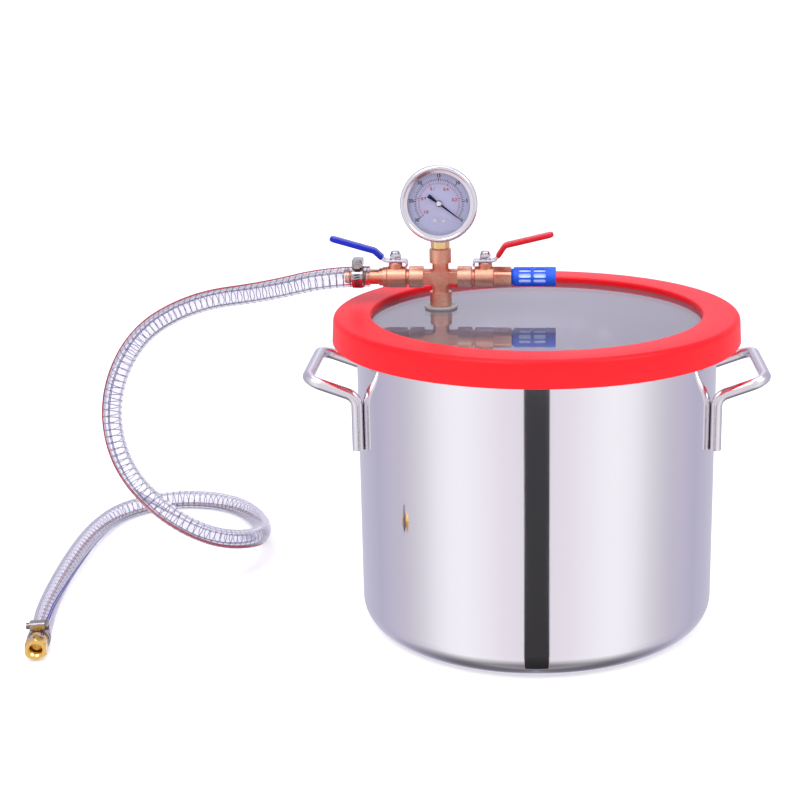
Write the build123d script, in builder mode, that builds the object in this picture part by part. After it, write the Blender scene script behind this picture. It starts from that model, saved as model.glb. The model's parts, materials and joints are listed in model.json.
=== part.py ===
"""Vacuum degassing chamber: a deep steel pot, a glass lid in a soft red ring,
and a brass manifold with a gauge, two ball valves, a filter and a wire-wound hose.

Frame: millimetres, +Z up, origin at the centre of the pot's base on the floor.
The lid's port and the whole manifold stand behind and to the left of the centre.
"""
from build123d import *
from math import cos, pi, radians, sin, sqrt, tan
import os

os.makedirs("parts", exist_ok=True)

# ---------------------------------------------------------------- pot
pot_r = 150.0              # outside radius
pot_height = 250.0         # floor to the top of the rolled rim
pot_wall = 1.2
pot_corner_r = 22.0        # outside radius where the wall meets the base
base_foot_r = 118.0        # the base is pressed up by base_recess inside this radius
base_recess = 1.2
rim_bead_r = 2.4           # rolled rim, half its thickness

# ---------------------------------------------------------------- lid and ring
lid_thick = 10.0
lid_r = 164.8
lid_bevel = 1.0
ring_r_top = 170.4         # the ring's side leans out towards its lower edge
ring_r_bottom = 172.2
ring_open_r = 140.0        # round opening in the top of the ring
ring_seat = 3.0            # rubber between the pot's rim and the glass
ring_cap = 5.0             # rubber over the edge of the glass
ring_skirt = 4.0           # how far the ring reaches down past the rim
ring_edge_r = 4.5
ring_lip = 4.0             # lip that hangs inside the pot's mouth
rim_gap = 0.4              # play of the rim in the ring's groove
lid_gap = 0.2              # play of the glass's edge in the ring

# ---------------------------------------------------------------- handles
handle_rod_r = 4.75
handle_half_span = 50.0    # from the middle plane to each leg
handle_leg_low = 162.0
handle_leg_high = 207.0
handle_reach = 43.0        # from the legs out to the grip
handle_rise = 17.0         # how much higher the grip is than the legs' tops
handle_elbow_r = 11.0
handle_corner_r = 13.0

# ---------------------------------------------------------------- manifold
port_x = -81.5
port_y = 33.0
port_hole_r = 7.0
port_washer_r = 14.0
port_washer_thick = 2.0
thread_r = 6.6             # quarter inch pipe thread
bore_r = 3.6
port_nut_flats = 19.0
port_nut_thick = 7.0
nipple_tail = 4.0          # thread left showing under the nut
cross_stub = 24.5          # centre of the cross to its upper and lower ends
cross_run = 26.5           # centre of the cross to its left and right ends
cross_collar_r = 9.2
cross_collar_len = 12.0
cross_bevel = 0.7
cross_boss = 1.4           # how much the cross's middle stands out round its necks
cross_neck_r = 6.9
cross_rib = 8.6            # width of the flat cast rib on each arm
cross_rib_step = 2.4       # how far the rib's faces lie inside the collars
thread_depth = 8.5         # how far a thread goes into a collar

# ---------------------------------------------------------------- ball valves
valve_lead = 2.2           # thread that shows between the cross and the body
valve_body_len = 16.6
valve_r = 9.0
stem_from_face = 9.2       # body's inner face to the stem's axis
cavity_r = 6.4
ball_r = 5.0
ball_bore_r = 2.7
seat_thick = 1.8
ball_gap = 0.06
tower_r = 5.8
tower_top = 12.6           # above the valve's axis
stem_r = 2.5
stem_gap = 0.06
stem_flat = 1.7            # half width across the flats that turn the lever
tang_half = 1.0
tang_depth = 1.8
gland_r = 4.2
gland_thick = 4.0
plate_gap = 0.4            # lever plate above the tower
plate_thick = 2.0
plate_half = 5.4
lever_level = 10.8         # flat part of the lever, from the stem's axis
lever_knee_out = 18.6
lever_knee_up = 9.4
lever_tip_out = 57.6
lever_tip_up = 19.6
lever_bend_r = 6.0
hook_out = 9.6
hook_drop = 3.6
sleeve_wall = 1.4
sleeve_start = 0.42        # share of the lever's riser left bare
washer_r = 4.7
washer_thick = 1.0
lever_nut_flats = 8.6
lever_nut_thick = 5.0
lever_nut_dome = 3.4
vent_end_len = 14.6
vent_end_flats = 16.0
insert_r = 7.4             # spigot of an end piece inside the valve's body
insert_len = 4.6

# ---------------------------------------------------------------- filter
filter_r = 8.2
filter_wall = 1.7
filter_neck_len = 2.0
filter_cage_len = 29.0
filter_first_slot = 6.2    # start of the first slots, from the vent valve's mouth
filter_slot_len = 10.4
filter_slot_wide = 3.4
filter_slot_pitch = 12.6
filter_slots = 10
filter_slot_r = 1.2
filter_rib_r = 8.6
filter_rib_wide = 1.3
filter_rib_back = 1.8      # each rib starts this far before its slots
filter_cap_r = 8.4
filter_cap_len = 6.8
filter_cap_plug = 1.6
element_r = 5.6
element_bore_r = 3.0

# ---------------------------------------------------------------- gauge
gauge_centre_up = 63.5     # above the manifold's axis
gauge_front = -13.0        # bezel's face, from the manifold's axis along Y
bezel_r = 32.2
bezel_open_r = 28.6
bezel_deep = 6.6
bezel_step = 0.9
bezel_lip_deep = 1.8       # lip in front of the lens
case_r = 30.6
case_deep = 25.0
case_wall = 1.2
case_back_r = 3.0
lens_thick = 2.0
dial_depth = 2.8           # dial behind the lens
dial_thick = 0.8
dial_screw_r = 0.9
dial_screw_x = 3.6
dial_screw_low = 14.5
dial_screw_len = 4.0
dial_screw_head = 0.5
pointer_hub_r = 2.6
pointer_len = 21.5
pointer_tail = 11.0
pointer_tail_half = 1.7
pointer_thick = 0.5
pointer_up = 0.9           # pointer's back above the dial
pointer_rest = -37.0       # degrees from +X seen from the front, needle on its stop
spindle_r = 0.9
spindle_gap = 0.05
socket_flats = 14.6
socket_lead = 0.8          # thread that shows between the cross and the hexagon
socket_hex_thick = 5.6
socket_neck_r = 5.5
socket_bore_r = 2.0
socket_block = 11.0
tube_bend_r = 19.0
tube_half_wide = 3.0
tube_half_thick = 1.2
tube_start = -82.0         # degrees from +X seen from the front
tube_sweep = 262.0
movement_half = 8.0
movement_step = 1.2        # movement's front plate behind the dial
movement_deep = 7.0
movement_plate = 1.0
movement_post_r = 1.2
pinion_r = 2.2

# ---------------------------------------------------------------- hose
hose_r = 8.75
hose_bore_r = 5.9
barb_collar_len = 3.4
barb_collar_r = 8.5
barb_ring_len = 3.0
barb_ring_r = 7.5
barb_neck_len = 8.0
barb_neck_r = 6.3
barb_r = 5.8
barb_tooth = 0.9
barb_teeth = 4
barb_len = 21.0
barb_bore_r = 3.4
clamp_wide = 9.0
clamp_thick = 0.7
clamp_from_end = 10.2      # middle of the clamp from the hose's end
clamp_box_long = 12.0
clamp_box_high = 5.6
clamp_screw_r = 2.7
clamp_head_r = 4.3
clamp_head_len = 3.6
clamp_screw_len = 15.0
end_hex_flats = 16.6
end_hex_len = 12.0
end_neck_len = 1.6
end_bore_r = 5.7
end_bore_deep = 9.0

rim_top = pot_height
glass_bottom = rim_top + ring_seat
glass_top = glass_bottom + lid_thick
ring_top = glass_top + ring_cap
ring_bottom = rim_top - ring_skirt
cross_z = glass_top + port_washer_thick + cross_stub


def finish(builder, name):
    """Label a finished piece, give it its file and report its volume."""
    builder.part.label = name
    export_step(builder.part, f"parts/{name}.step")
    print(f"{name:26s} {builder.part.volume:12.1f} mm3")


# ================================================================ pot
with BuildPart() as pot:
    with BuildSketch(Plane.XZ):
        with BuildLine():
            Polyline((0, base_recess), (base_foot_r - 3 * base_recess, base_recess), (base_foot_r, 0),
                     (pot_r - pot_corner_r, 0))
            RadiusArc((pot_r - pot_corner_r, 0), (pot_r, pot_corner_r), -pot_corner_r)
            Line((pot_r, pot_corner_r), (pot_r, rim_top - rim_bead_r))
            Line((pot_r, rim_top - rim_bead_r), (pot_r - pot_wall, rim_top - rim_bead_r))
            Line((pot_r - pot_wall, rim_top - rim_bead_r), (pot_r - pot_wall, pot_corner_r))
            RadiusArc((pot_r - pot_wall, pot_corner_r), (pot_r - pot_corner_r, pot_wall), pot_corner_r - pot_wall)
            Polyline((pot_r - pot_corner_r, pot_wall), (base_foot_r, pot_wall),
                     (base_foot_r - 3 * base_recess, base_recess + pot_wall), (0, base_recess + pot_wall),
                     (0, base_recess))
        make_face()
        with Locations((pot_r - pot_wall + rim_bead_r, rim_top - rim_bead_r)):
            Circle(rim_bead_r)
    revolve(axis=Axis.Z)
finish(pot, "pot")

# ================================================================ handles
leg_x = sqrt((pot_r + handle_rod_r) ** 2 - handle_half_span ** 2)
for side, name in ((-1, "handle_left"), (1, "handle_right")):
    grip_x = side * (leg_x + handle_reach)
    grip_z = handle_leg_high + handle_rise
    with BuildPart() as handle:
        with BuildLine() as handle_path:
            FilletPolyline((side * leg_x, -handle_half_span, handle_leg_low),
                           (side * leg_x, -handle_half_span, handle_leg_high),
                           (grip_x, -handle_half_span, grip_z),
                           (grip_x, handle_half_span, grip_z),
                           (side * leg_x, handle_half_span, handle_leg_high),
                           (side * leg_x, handle_half_span, handle_leg_low),
                           radius=[handle_elbow_r, handle_corner_r, handle_corner_r, handle_elbow_r])
        with BuildSketch(Plane(origin=(side * leg_x, -handle_half_span, handle_leg_low), z_dir=(0, 0, 1))):
            Circle(handle_rod_r)
        sweep(path=handle_path.line)
        leg_ends = handle.edges().filter_by(GeomType.CIRCLE).group_by(Axis.Z)[0]
        chamfer(leg_ends, 1.0)
    finish(handle, name)

# ================================================================ ring and lid
with BuildPart() as gasket_ring:
    groove_out = pot_r - pot_wall + 2 * rim_bead_r + rim_gap
    groove_in = pot_r - pot_wall - rim_gap
    lip_r = groove_in - ring_lip
    with BuildSketch(Plane.XZ) as ring_section:
        with BuildLine():
            Polyline((ring_open_r, ring_top), (ring_r_top, ring_top), (ring_r_bottom, ring_bottom),
                     (groove_out, ring_bottom), (groove_out, rim_top), (groove_in, rim_top),
                     (groove_in, ring_bottom), (lip_r, ring_bottom), (lip_r, glass_bottom),
                     (lid_r + lid_gap, glass_bottom), (lid_r + lid_gap, glass_top), (ring_open_r, glass_top),
                     close=True)
        make_face()
        fillet(ring_section.vertices().group_by(Axis.Y)[-1].sort_by(Axis.X)[-1], ring_edge_r)
        fillet(ring_section.vertices().group_by(Axis.Y)[-1].sort_by(Axis.X)[0], ring_cap / 3)
    revolve(axis=Axis.Z)
finish(gasket_ring, "gasket_ring")

with BuildPart() as glass_lid:
    with BuildSketch(Plane.XY.offset(glass_bottom)):
        Circle(lid_r)
        with Locations((port_x, port_y)):
            Circle(port_hole_r, mode=Mode.SUBTRACT)
    extrude(amount=lid_thick)
    rims = glass_lid.edges().filter_by(GeomType.CIRCLE).sort_by(SortBy.RADIUS)[-2:]
    chamfer(rims, lid_bevel)
finish(glass_lid, "glass_lid")

# ================================================================ lid port
for name, level in (("port_washer_upper", glass_top), ("port_washer_lower", glass_bottom - port_washer_thick)):
    with BuildPart() as washer:
        with BuildSketch(Plane.XY.offset(level)):
            with Locations((port_x, port_y)):
                Circle(port_washer_r)
                Circle(port_hole_r, mode=Mode.SUBTRACT)
        extrude(amount=port_washer_thick)
        fillet(washer.edges().filter_by(GeomType.CIRCLE).sort_by(SortBy.RADIUS)[-2:], port_washer_thick / 4)
    finish(washer, name)

nut_top = glass_bottom - port_washer_thick
nipple_bottom = nut_top - port_nut_thick - nipple_tail
nipple_top = glass_top + port_washer_thick + thread_depth
with BuildPart() as port_nipple:
    with BuildSketch(Plane.XY.offset(nipple_bottom)):
        with Locations((port_x, port_y)):
            Circle(thread_r)
            Circle(bore_r, mode=Mode.SUBTRACT)
    extrude(amount=nipple_top - nipple_bottom)
    chamfer(port_nipple.edges().filter_by(GeomType.CIRCLE).sort_by(SortBy.RADIUS)[-2:], 0.8)
finish(port_nipple, "port_nipple")

with BuildPart() as port_nut:
    with BuildSketch(Plane.XY.offset(nut_top - port_nut_thick)):
        with Locations((port_x, port_y)):
            RegularPolygon(port_nut_flats / 2, 6, major_radius=False)
            Circle(thread_r, mode=Mode.SUBTRACT)
    extrude(amount=port_nut_thick)
    with BuildSketch(Plane.XY.offset(nut_top - port_nut_thick)):
        with Locations((port_x, port_y)):
            Circle(port_nut_flats / 2 + 0.6)
    extrude(amount=port_nut_thick, taper=-22, mode=Mode.INTERSECT)
finish(port_nut, "port_nut")

# ================================================================ cross
manifold = Vector(port_x, port_y, cross_z)
cross_arms = ((Vector(0, 0, 1), cross_stub), (Vector(0, 0, -1), cross_stub),
              (Vector(1, 0, 0), cross_run), (Vector(-1, 0, 0), cross_run))
with BuildPart() as cross_fitting:
    for aim, reach in cross_arms:
        sideways = Vector(0, 1, 0)
        with BuildSketch(Plane(origin=manifold, x_dir=sideways, z_dir=sideways.cross(aim))):
            with BuildLine():
                Polyline((0, 0), (cross_neck_r, 0), (cross_neck_r, reach - cross_collar_len),
                         (cross_collar_r, reach - cross_collar_len), (cross_collar_r, reach - cross_bevel),
                         (cross_collar_r - cross_bevel, reach), (0, reach), close=True)
            make_face()
        revolve(axis=Axis(manifold, aim))
        with BuildSketch(Plane(origin=manifold, x_dir=sideways, z_dir=aim)):
            Rectangle(2 * cross_collar_r - cross_rib_step, cross_rib)
        extrude(amount=reach - cross_collar_len)
    with BuildSketch(Plane(origin=manifold, z_dir=(0, -1, 0))):
        Circle(cross_neck_r + cross_boss)
    extrude(amount=cross_collar_r - cross_rib_step / 2, both=True)
    for aim, reach in cross_arms:
        with BuildSketch(Plane(origin=manifold + aim * (reach - thread_depth), z_dir=aim)):
            Circle(thread_r)
        extrude(amount=thread_depth, mode=Mode.SUBTRACT)
        with BuildSketch(Plane(origin=manifold, z_dir=aim)):
            Circle(bore_r)
        extrude(amount=reach, mode=Mode.SUBTRACT)
finish(cross_fitting, "cross_fitting")


# ================================================================ ball valves
def lever_line():
    """Corners of the lever's middle line, hook to tip, in its own side view."""
    level = tower_top + plate_gap + plate_thick / 2
    return [(-hook_out, level - hook_drop), (-hook_out, level), (lever_level, level),
            (lever_knee_out, level + lever_knee_up), (lever_tip_out, level + lever_tip_up)]


def make_valve(side, kind):
    """One ball valve; side is -1 for the hose side and 1 for the vent side."""
    out = Vector(side, 0, 0)
    face = manifold + out * (cross_run + valve_lead)
    stem = face + out * stem_from_face
    end = face + out * valve_body_len
    body_bottom = manifold + out * (cross_run - thread_depth)
    seat_near = ball_r - seat_thick / 2
    cavity_start = -(seat_near + seat_thick)

    with BuildPart() as body:
        with BuildSketch(Plane(origin=face, z_dir=out)):
            Circle(valve_r)
        extrude(amount=valve_body_len)
        chamfer(body.edges().filter_by(GeomType.CIRCLE), 0.8)
        with BuildSketch(Plane(origin=body_bottom, z_dir=out)):
            Circle(thread_r)
        extrude(amount=thread_depth + valve_lead)
        with BuildSketch(Plane(origin=stem)):
            Circle(tower_r)
        extrude(amount=tower_top)
        chamfer(body.edges().filter_by(GeomType.CIRCLE).sort_by(Axis.Z)[-1], 0.6)
        with BuildSketch(Plane(origin=body_bottom, z_dir=out)):
            Circle(bore_r)
        extrude(amount=thread_depth + valve_lead + valve_body_len, mode=Mode.SUBTRACT)
        with BuildSketch(Plane(origin=stem + out * cavity_start, z_dir=out)):
            Circle(cavity_r)
        extrude(amount=valve_body_len, mode=Mode.SUBTRACT)
        with BuildSketch(Plane(origin=end - out * insert_len, z_dir=out)):
            Circle(insert_r)
        extrude(amount=insert_len, mode=Mode.SUBTRACT)
        with BuildSketch(Plane(origin=stem)):
            Circle(stem_r + stem_gap)
        extrude(amount=tower_top, mode=Mode.SUBTRACT)
        with BuildSketch(Plane(origin=stem + Vector(0, 0, tower_top - gland_thick))):
            Circle(gland_r)
        extrude(amount=gland_thick, mode=Mode.SUBTRACT)
    finish(body, f"{kind}_valve_body")

    with BuildPart() as ball:
        with Locations(stem):
            Sphere(ball_r)
        with BuildSketch(Plane(origin=stem, z_dir=out)):
            Circle(ball_bore_r)
        extrude(amount=ball_r, both=True, mode=Mode.SUBTRACT)
        with BuildSketch(Plane(origin=stem + Vector(0, 0, ball_r - tang_depth))):
            Rectangle(2 * ball_r, 2 * tang_half + 2 * stem_gap)
        extrude(amount=tang_depth, mode=Mode.SUBTRACT)
    finish(ball, f"{kind}_valve_ball")

    with BuildPart() as seats:
        for way in (-1, 1):
            with BuildSketch(Plane(origin=stem + out * (way * seat_near), z_dir=out * way)):
                Circle(cavity_r)
                Circle(ball_bore_r + 0.6, mode=Mode.SUBTRACT)
            extrude(amount=seat_thick)
        with Locations(stem):
            Sphere(ball_r + ball_gap, mode=Mode.SUBTRACT)
    finish(seats, f"{kind}_valve_seats")

    nut_seat = tower_top + plate_gap + plate_thick + washer_thick
    with BuildPart() as stem_piece:
        with BuildSketch(Plane(origin=stem + Vector(0, 0, ball_r - tang_depth + stem_gap))):
            Rectangle(2 * stem_r - 0.4, 2 * tang_half)
        extrude(amount=tang_depth)
        with BuildSketch(Plane(origin=stem + Vector(0, 0, ball_r + stem_gap))):
            Circle(stem_r)
        extrude(amount=nut_seat + lever_nut_thick - ball_r - stem_gap)
        for way in (-1, 1):
            with BuildSketch(Plane(origin=stem + Vector(0, way * (stem_flat + stem_r), tower_top + plate_gap))):
                Rectangle(4 * stem_r, 2 * stem_r)
            extrude(amount=plate_thick + 2 * washer_thick + lever_nut_thick, mode=Mode.SUBTRACT)
    finish(stem_piece, f"{kind}_valve_stem")

    with BuildPart() as gland:
        with BuildSketch(Plane(origin=stem + Vector(0, 0, tower_top - gland_thick))):
            Circle(gland_r)
            Circle(stem_r + stem_gap, mode=Mode.SUBTRACT)
        extrude(amount=gland_thick)
    finish(gland, f"{kind}_valve_gland")

    side_view = Plane(origin=stem, x_dir=out, z_dir=(0, -side, 0))
    corners = lever_line()
    with BuildPart() as lever:
        with BuildSketch(side_view):
            with BuildLine() as lever_path:
                FilletPolyline(*corners, radius=[2.0, lever_bend_r, lever_bend_r])
            trace(line_width=plate_thick)
        extrude(amount=plate_half, both=True)
        with BuildSketch(Plane(origin=stem, x_dir=out, z_dir=(0, 0, 1))) as plan_view:
            with Locations(((lever_tip_out - hook_out) / 2, 0)):
                Rectangle(lever_tip_out + hook_out + plate_thick, 2 * plate_half)
            fillet(plan_view.vertices().group_by(Axis.X)[-1 if side > 0 else 0], plate_half - 0.2)
        extrude(amount=4 * tower_top, mode=Mode.INTERSECT)
        with BuildSketch(Plane(origin=stem + Vector(0, 0, tower_top))) as lever_hole:
            Circle(stem_r)
            Rectangle(2 * stem_r, 2 * stem_flat, mode=Mode.INTERSECT)
        extrude(amount=2 * plate_thick, mode=Mode.SUBTRACT)
    finish(lever, f"{kind}_lever")

    level = corners[2][1]
    sleeve_foot = (lever_level + (lever_knee_out - lever_level) * sleeve_start, level + lever_knee_up * sleeve_start)
    tip_run = Vector(lever_tip_out - lever_knee_out, lever_tip_up - lever_knee_up).normalized()
    sleeve_tip = (lever_tip_out + tip_run.X * sleeve_wall, level + lever_tip_up + tip_run.Y * sleeve_wall)
    with BuildPart() as sleeve:
        with BuildSketch(side_view):
            with BuildLine():
                FilletPolyline(sleeve_foot, corners[3], sleeve_tip, radius=lever_bend_r)
            trace(line_width=plate_thick + 2 * sleeve_wall)
        extrude(amount=plate_half + sleeve_wall, both=True)
        with BuildSketch(Plane(origin=stem, x_dir=out, z_dir=(0, 0, 1))) as sleeve_plan:
            with Locations((sleeve_tip[0] / 2, 0)):
                Rectangle(sleeve_tip[0], 2 * (plate_half + sleeve_wall))
            fillet(sleeve_plan.vertices().group_by(Axis.X)[-1 if side > 0 else 0], plate_half)
        extrude(amount=4 * tower_top, mode=Mode.INTERSECT)
        add(lever.part, mode=Mode.SUBTRACT)
    finish(sleeve, f"{kind}_lever_sleeve")

    with BuildPart() as lever_washer:
        with BuildSketch(Plane(origin=stem + Vector(0, 0, nut_seat - washer_thick))):
            Circle(washer_r)
            Circle(stem_r, mode=Mode.SUBTRACT)
        extrude(amount=washer_thick)
    finish(lever_washer, f"{kind}_lever_washer")

    with BuildPart() as lever_nut:
        with BuildSketch(Plane(origin=stem + Vector(0, 0, nut_seat))):
            RegularPolygon(lever_nut_flats / 2, 6, major_radius=False)
        extrude(amount=lever_nut_thick)
        with BuildSketch(Plane(origin=stem + Vector(0, 0, nut_seat + lever_nut_thick))):
            Circle(lever_nut_flats / 2 - 0.3)
        extrude(amount=lever_nut_dome)
        fillet(lever_nut.edges().group_by(Axis.Z)[-1], lever_nut_dome - 0.5)
        with BuildSketch(Plane(origin=stem + Vector(0, 0, nut_seat))):
            Circle(stem_r)
        extrude(amount=lever_nut_thick, mode=Mode.SUBTRACT)
    finish(lever_nut, f"{kind}_lever_nut")
    return out, end


hose_out, hose_face = make_valve(-1, "inlet")
vent_out, vent_face = make_valve(1, "vent")

# The far seat of each valve is held by the spigot of its end piece.
seat_back = stem_from_face + ball_r - seat_thick / 2 + seat_thick
spigot_len = valve_body_len - seat_back

with BuildPart() as vent_valve_end:
    with BuildSketch(Plane(origin=vent_face, z_dir=vent_out)):
        RegularPolygon(vent_end_flats / 2, 6, major_radius=False)
    extrude(amount=vent_end_len)
    with BuildSketch(Plane(origin=vent_face, z_dir=vent_out)):
        Circle(vent_end_flats / 2 + 0.7)
    extrude(amount=vent_end_len, mode=Mode.INTERSECT)
    with BuildSketch(Plane(origin=vent_face, z_dir=-vent_out)):
        Circle(insert_r)
    extrude(amount=insert_len)
    with BuildSketch(Plane(origin=vent_face - vent_out * spigot_len, z_dir=-vent_out)):
        Circle(cavity_r)
    extrude(amount=insert_len - spigot_len, mode=Mode.SUBTRACT)
    with BuildSketch(Plane(origin=vent_face - vent_out * valve_body_len, z_dir=vent_out)):
        Circle(bore_r)
    extrude(amount=valve_body_len + vent_end_len, mode=Mode.SUBTRACT)
    with BuildSketch(Plane(origin=vent_face + vent_out * (vent_end_len - thread_depth), z_dir=vent_out)):
        Circle(thread_r)
    extrude(amount=thread_depth, mode=Mode.SUBTRACT)
finish(vent_valve_end, "vent_valve_end")


def hose_tail(start):
    """Saw-tooth half outline of a hose tail, from the hose's end to the tail's tip."""
    points = [(start, barb_r - barb_tooth)]
    pitch = barb_len / barb_teeth
    for tooth in range(barb_teeth):
        points.append((start + (tooth + 0.2) * pitch, barb_r - barb_tooth))
        points.append((start + (tooth + 0.3) * pitch, barb_r))
        points.append((start + (tooth + 1) * pitch, barb_r - barb_tooth))
    points.append((start + barb_len, barb_bore_r))
    return points


shoulder = barb_collar_len + barb_ring_len + barb_neck_len
hose_start = hose_face + hose_out * shoulder
with BuildPart() as hose_barb:
    with BuildSketch(Plane(origin=hose_face, x_dir=hose_out, z_dir=(0, 1, 0))):
        with BuildLine():
            Polyline((-spigot_len, barb_bore_r), (-spigot_len, cavity_r), (-insert_len, cavity_r),
                     (-insert_len, insert_r), (0, insert_r), (0, barb_collar_r), (barb_collar_len, barb_collar_r),
                     (barb_collar_len, barb_ring_r), (barb_collar_len + barb_ring_len, barb_ring_r),
                     (barb_collar_len + barb_ring_len, barb_neck_r), (shoulder, barb_neck_r),
                     *hose_tail(shoulder), close=True)
        make_face()
    revolve(axis=Axis(hose_face, hose_out))
finish(hose_barb, "hose_barb")

# ================================================================ filter
filter_face = vent_face + vent_out * vent_end_len


def filter_plane(distance):
    """A plane across the filter, at a distance from the vent valve's mouth."""
    return Plane(origin=filter_face + vent_out * distance, z_dir=vent_out)


cage_end = filter_neck_len + filter_cage_len
with BuildPart() as filter_cage:
    with BuildSketch(filter_plane(-thread_depth)):
        Circle(thread_r)
    extrude(amount=thread_depth + filter_neck_len)
    with BuildSketch(filter_plane(filter_neck_len)):
        Circle(filter_r)
    extrude(amount=filter_cage_len)
    for rib in range(3):
        with BuildSketch(filter_plane(filter_first_slot - filter_rib_back + rib * filter_slot_pitch)):
            Circle(filter_rib_r)
        extrude(amount=filter_rib_wide)
    with BuildSketch(filter_plane(filter_neck_len + filter_wall)):
        Circle(filter_r - filter_wall)
    extrude(amount=filter_cage_len, mode=Mode.SUBTRACT)
    with BuildSketch(filter_plane(-thread_depth)):
        Circle(bore_r)
    extrude(amount=thread_depth + filter_neck_len + filter_wall, mode=Mode.SUBTRACT)
    for row in range(2):
        for slot in range(filter_slots):
            turn = radians(360 * slot / filter_slots + 90)
            radial = Vector(0, cos(turn), sin(turn))
            middle = filter_first_slot + filter_slot_len / 2 + row * filter_slot_pitch
            with BuildSketch(Plane(origin=filter_face + vent_out * middle, x_dir=vent_out, z_dir=radial)):
                RectangleRounded(filter_slot_len, filter_slot_wide, filter_slot_r)
            extrude(amount=2 * filter_r, mode=Mode.SUBTRACT)
finish(filter_cage, "filter_cage")

with BuildPart() as filter_cap:
    with BuildSketch(filter_plane(cage_end)):
        Circle(filter_cap_r)
    extrude(amount=filter_cap_len)
    fillet(filter_cap.faces().sort_by(Axis(filter_face, vent_out))[-1].edges(), 0.9)
    with BuildSketch(filter_plane(cage_end - filter_cap_plug)):
        Circle(filter_r - filter_wall)
    extrude(amount=filter_cap_plug)
finish(filter_cap, "filter_cap")

with BuildPart() as filter_element:
    element_start = filter_neck_len + filter_wall
    with BuildSketch(filter_plane(element_start)):
        Circle(element_r)
        Circle(element_bore_r, mode=Mode.SUBTRACT)
    extrude(amount=cage_end - filter_cap_plug - element_start)
finish(filter_element, "filter_element")

# ================================================================ gauge
gauge_centre = manifold + Vector(0, gauge_front, gauge_centre_up)
gauge_axis = Axis(gauge_centre, (0, 1, 0))


def gauge_plane(depth):
    """A plane across the gauge facing back, at a depth behind the bezel's face."""
    return Plane(origin=gauge_centre + Vector(0, depth, 0), x_dir=(-1, 0, 0), z_dir=(0, 1, 0))


lens_back = bezel_lip_deep + lens_thick
case_back = lens_back + case_deep
dial_face = lens_back + dial_depth
dial_back = dial_face + dial_thick
socket_depth = -gauge_front

with BuildPart() as gauge_bezel:
    with BuildSketch(Plane(origin=gauge_centre, x_dir=(1, 0, 0), z_dir=(0, 0, 1))):
        with BuildLine():
            Polyline((bezel_open_r, bezel_step), (bezel_open_r + bezel_step, 0),
                     (bezel_r - 2 * bezel_step, 0), (bezel_r - 1.4 * bezel_step, bezel_step),
                     (bezel_r - bezel_step, bezel_step), (bezel_r, 2 * bezel_step), (bezel_r, bezel_deep),
                     (case_r, bezel_deep), (case_r, bezel_lip_deep), (bezel_open_r, bezel_lip_deep), close=True)
        make_face()
    revolve(axis=gauge_axis)
finish(gauge_bezel, "gauge_bezel")

with BuildPart() as gauge_lens:
    with BuildSketch(gauge_plane(bezel_lip_deep)):
        Circle(case_r - lid_gap)
    extrude(amount=lens_thick)
finish(gauge_lens, "gauge_lens")

with BuildPart() as gauge_case:
    with BuildSketch(gauge_plane(lens_back)):
        Circle(case_r)
    extrude(amount=case_deep)
    fillet(gauge_case.faces().sort_by(Axis.Y)[-1].edges(), case_back_r)
    with BuildSketch(gauge_plane(lens_back)):
        Circle(case_r - case_wall)
    extrude(amount=case_deep - case_wall, mode=Mode.SUBTRACT)
    with BuildSketch(Plane(origin=gauge_centre + Vector(0, socket_depth, 0), z_dir=(0, 0, -1))):
        Circle(socket_neck_r + spindle_gap)
    extrude(amount=2 * case_r, mode=Mode.SUBTRACT)
finish(gauge_case, "gauge_case")

socket_seat = manifold + Vector(0, 0, cross_stub + socket_lead)
case_floor = gauge_centre_up - sqrt((case_r - case_wall) ** 2 - (socket_block / 2) ** 2)
block_low = manifold.Z + case_floor + lid_gap
block_high = gauge_centre.Z - movement_half
with BuildPart() as gauge_socket:
    with BuildSketch(Plane(origin=socket_seat)):
        RegularPolygon(socket_flats / 2, 6, major_radius=False)
    extrude(amount=socket_hex_thick)
    with BuildSketch(Plane(origin=socket_seat)):
        Circle(socket_flats / 2 + 0.7)
    extrude(amount=socket_hex_thick, mode=Mode.INTERSECT)
    with BuildSketch(Plane(origin=socket_seat - Vector(0, 0, socket_lead + thread_depth))):
        Circle(thread_r)
    extrude(amount=socket_lead + thread_depth)
    with BuildSketch(Plane(origin=socket_seat + Vector(0, 0, socket_hex_thick))):
        Circle(socket_neck_r)
    extrude(amount=block_low - socket_seat.Z - socket_hex_thick)
    with BuildSketch(Plane(origin=(socket_seat.X, socket_seat.Y, block_low))):
        Rectangle(socket_block, 2 * (socket_depth - dial_back))
    extrude(amount=block_high - block_low)
    with BuildSketch(Plane(origin=socket_seat - Vector(0, 0, socket_lead + thread_depth))):
        Circle(socket_bore_r)
    extrude(amount=block_high - socket_seat.Z - socket_block / 4 + thread_depth, mode=Mode.SUBTRACT)
    with BuildSketch(gauge_plane(dial_back)):
        with Locations(*[(way * dial_screw_x, -dial_screw_low) for way in (-1, 1)]):
            Circle(dial_screw_r)
    extrude(amount=dial_screw_len, mode=Mode.SUBTRACT)

# The flat tube starts inside the socket's block, which is cut out of it again.
start_turn = radians(tube_start)
start_dir = Vector(cos(start_turn), 0, sin(start_turn))
with BuildPart() as bourdon_tube:
    with BuildSketch(Plane(origin=gauge_centre + Vector(0, socket_depth, 0), x_dir=start_dir,
                           z_dir=start_dir.cross(Vector(0, 1, 0)))):
        with Locations((tube_bend_r, 0)):
            RectangleRounded(2 * tube_half_thick, 2 * tube_half_wide, tube_half_thick - 0.1)
    revolve(axis=Axis(gauge_centre, (0, -1, 0)), revolution_arc=tube_sweep)
    add(gauge_socket.part, mode=Mode.SUBTRACT)
finish(gauge_socket, "gauge_socket")
finish(bourdon_tube, "bourdon_tube")

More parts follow.
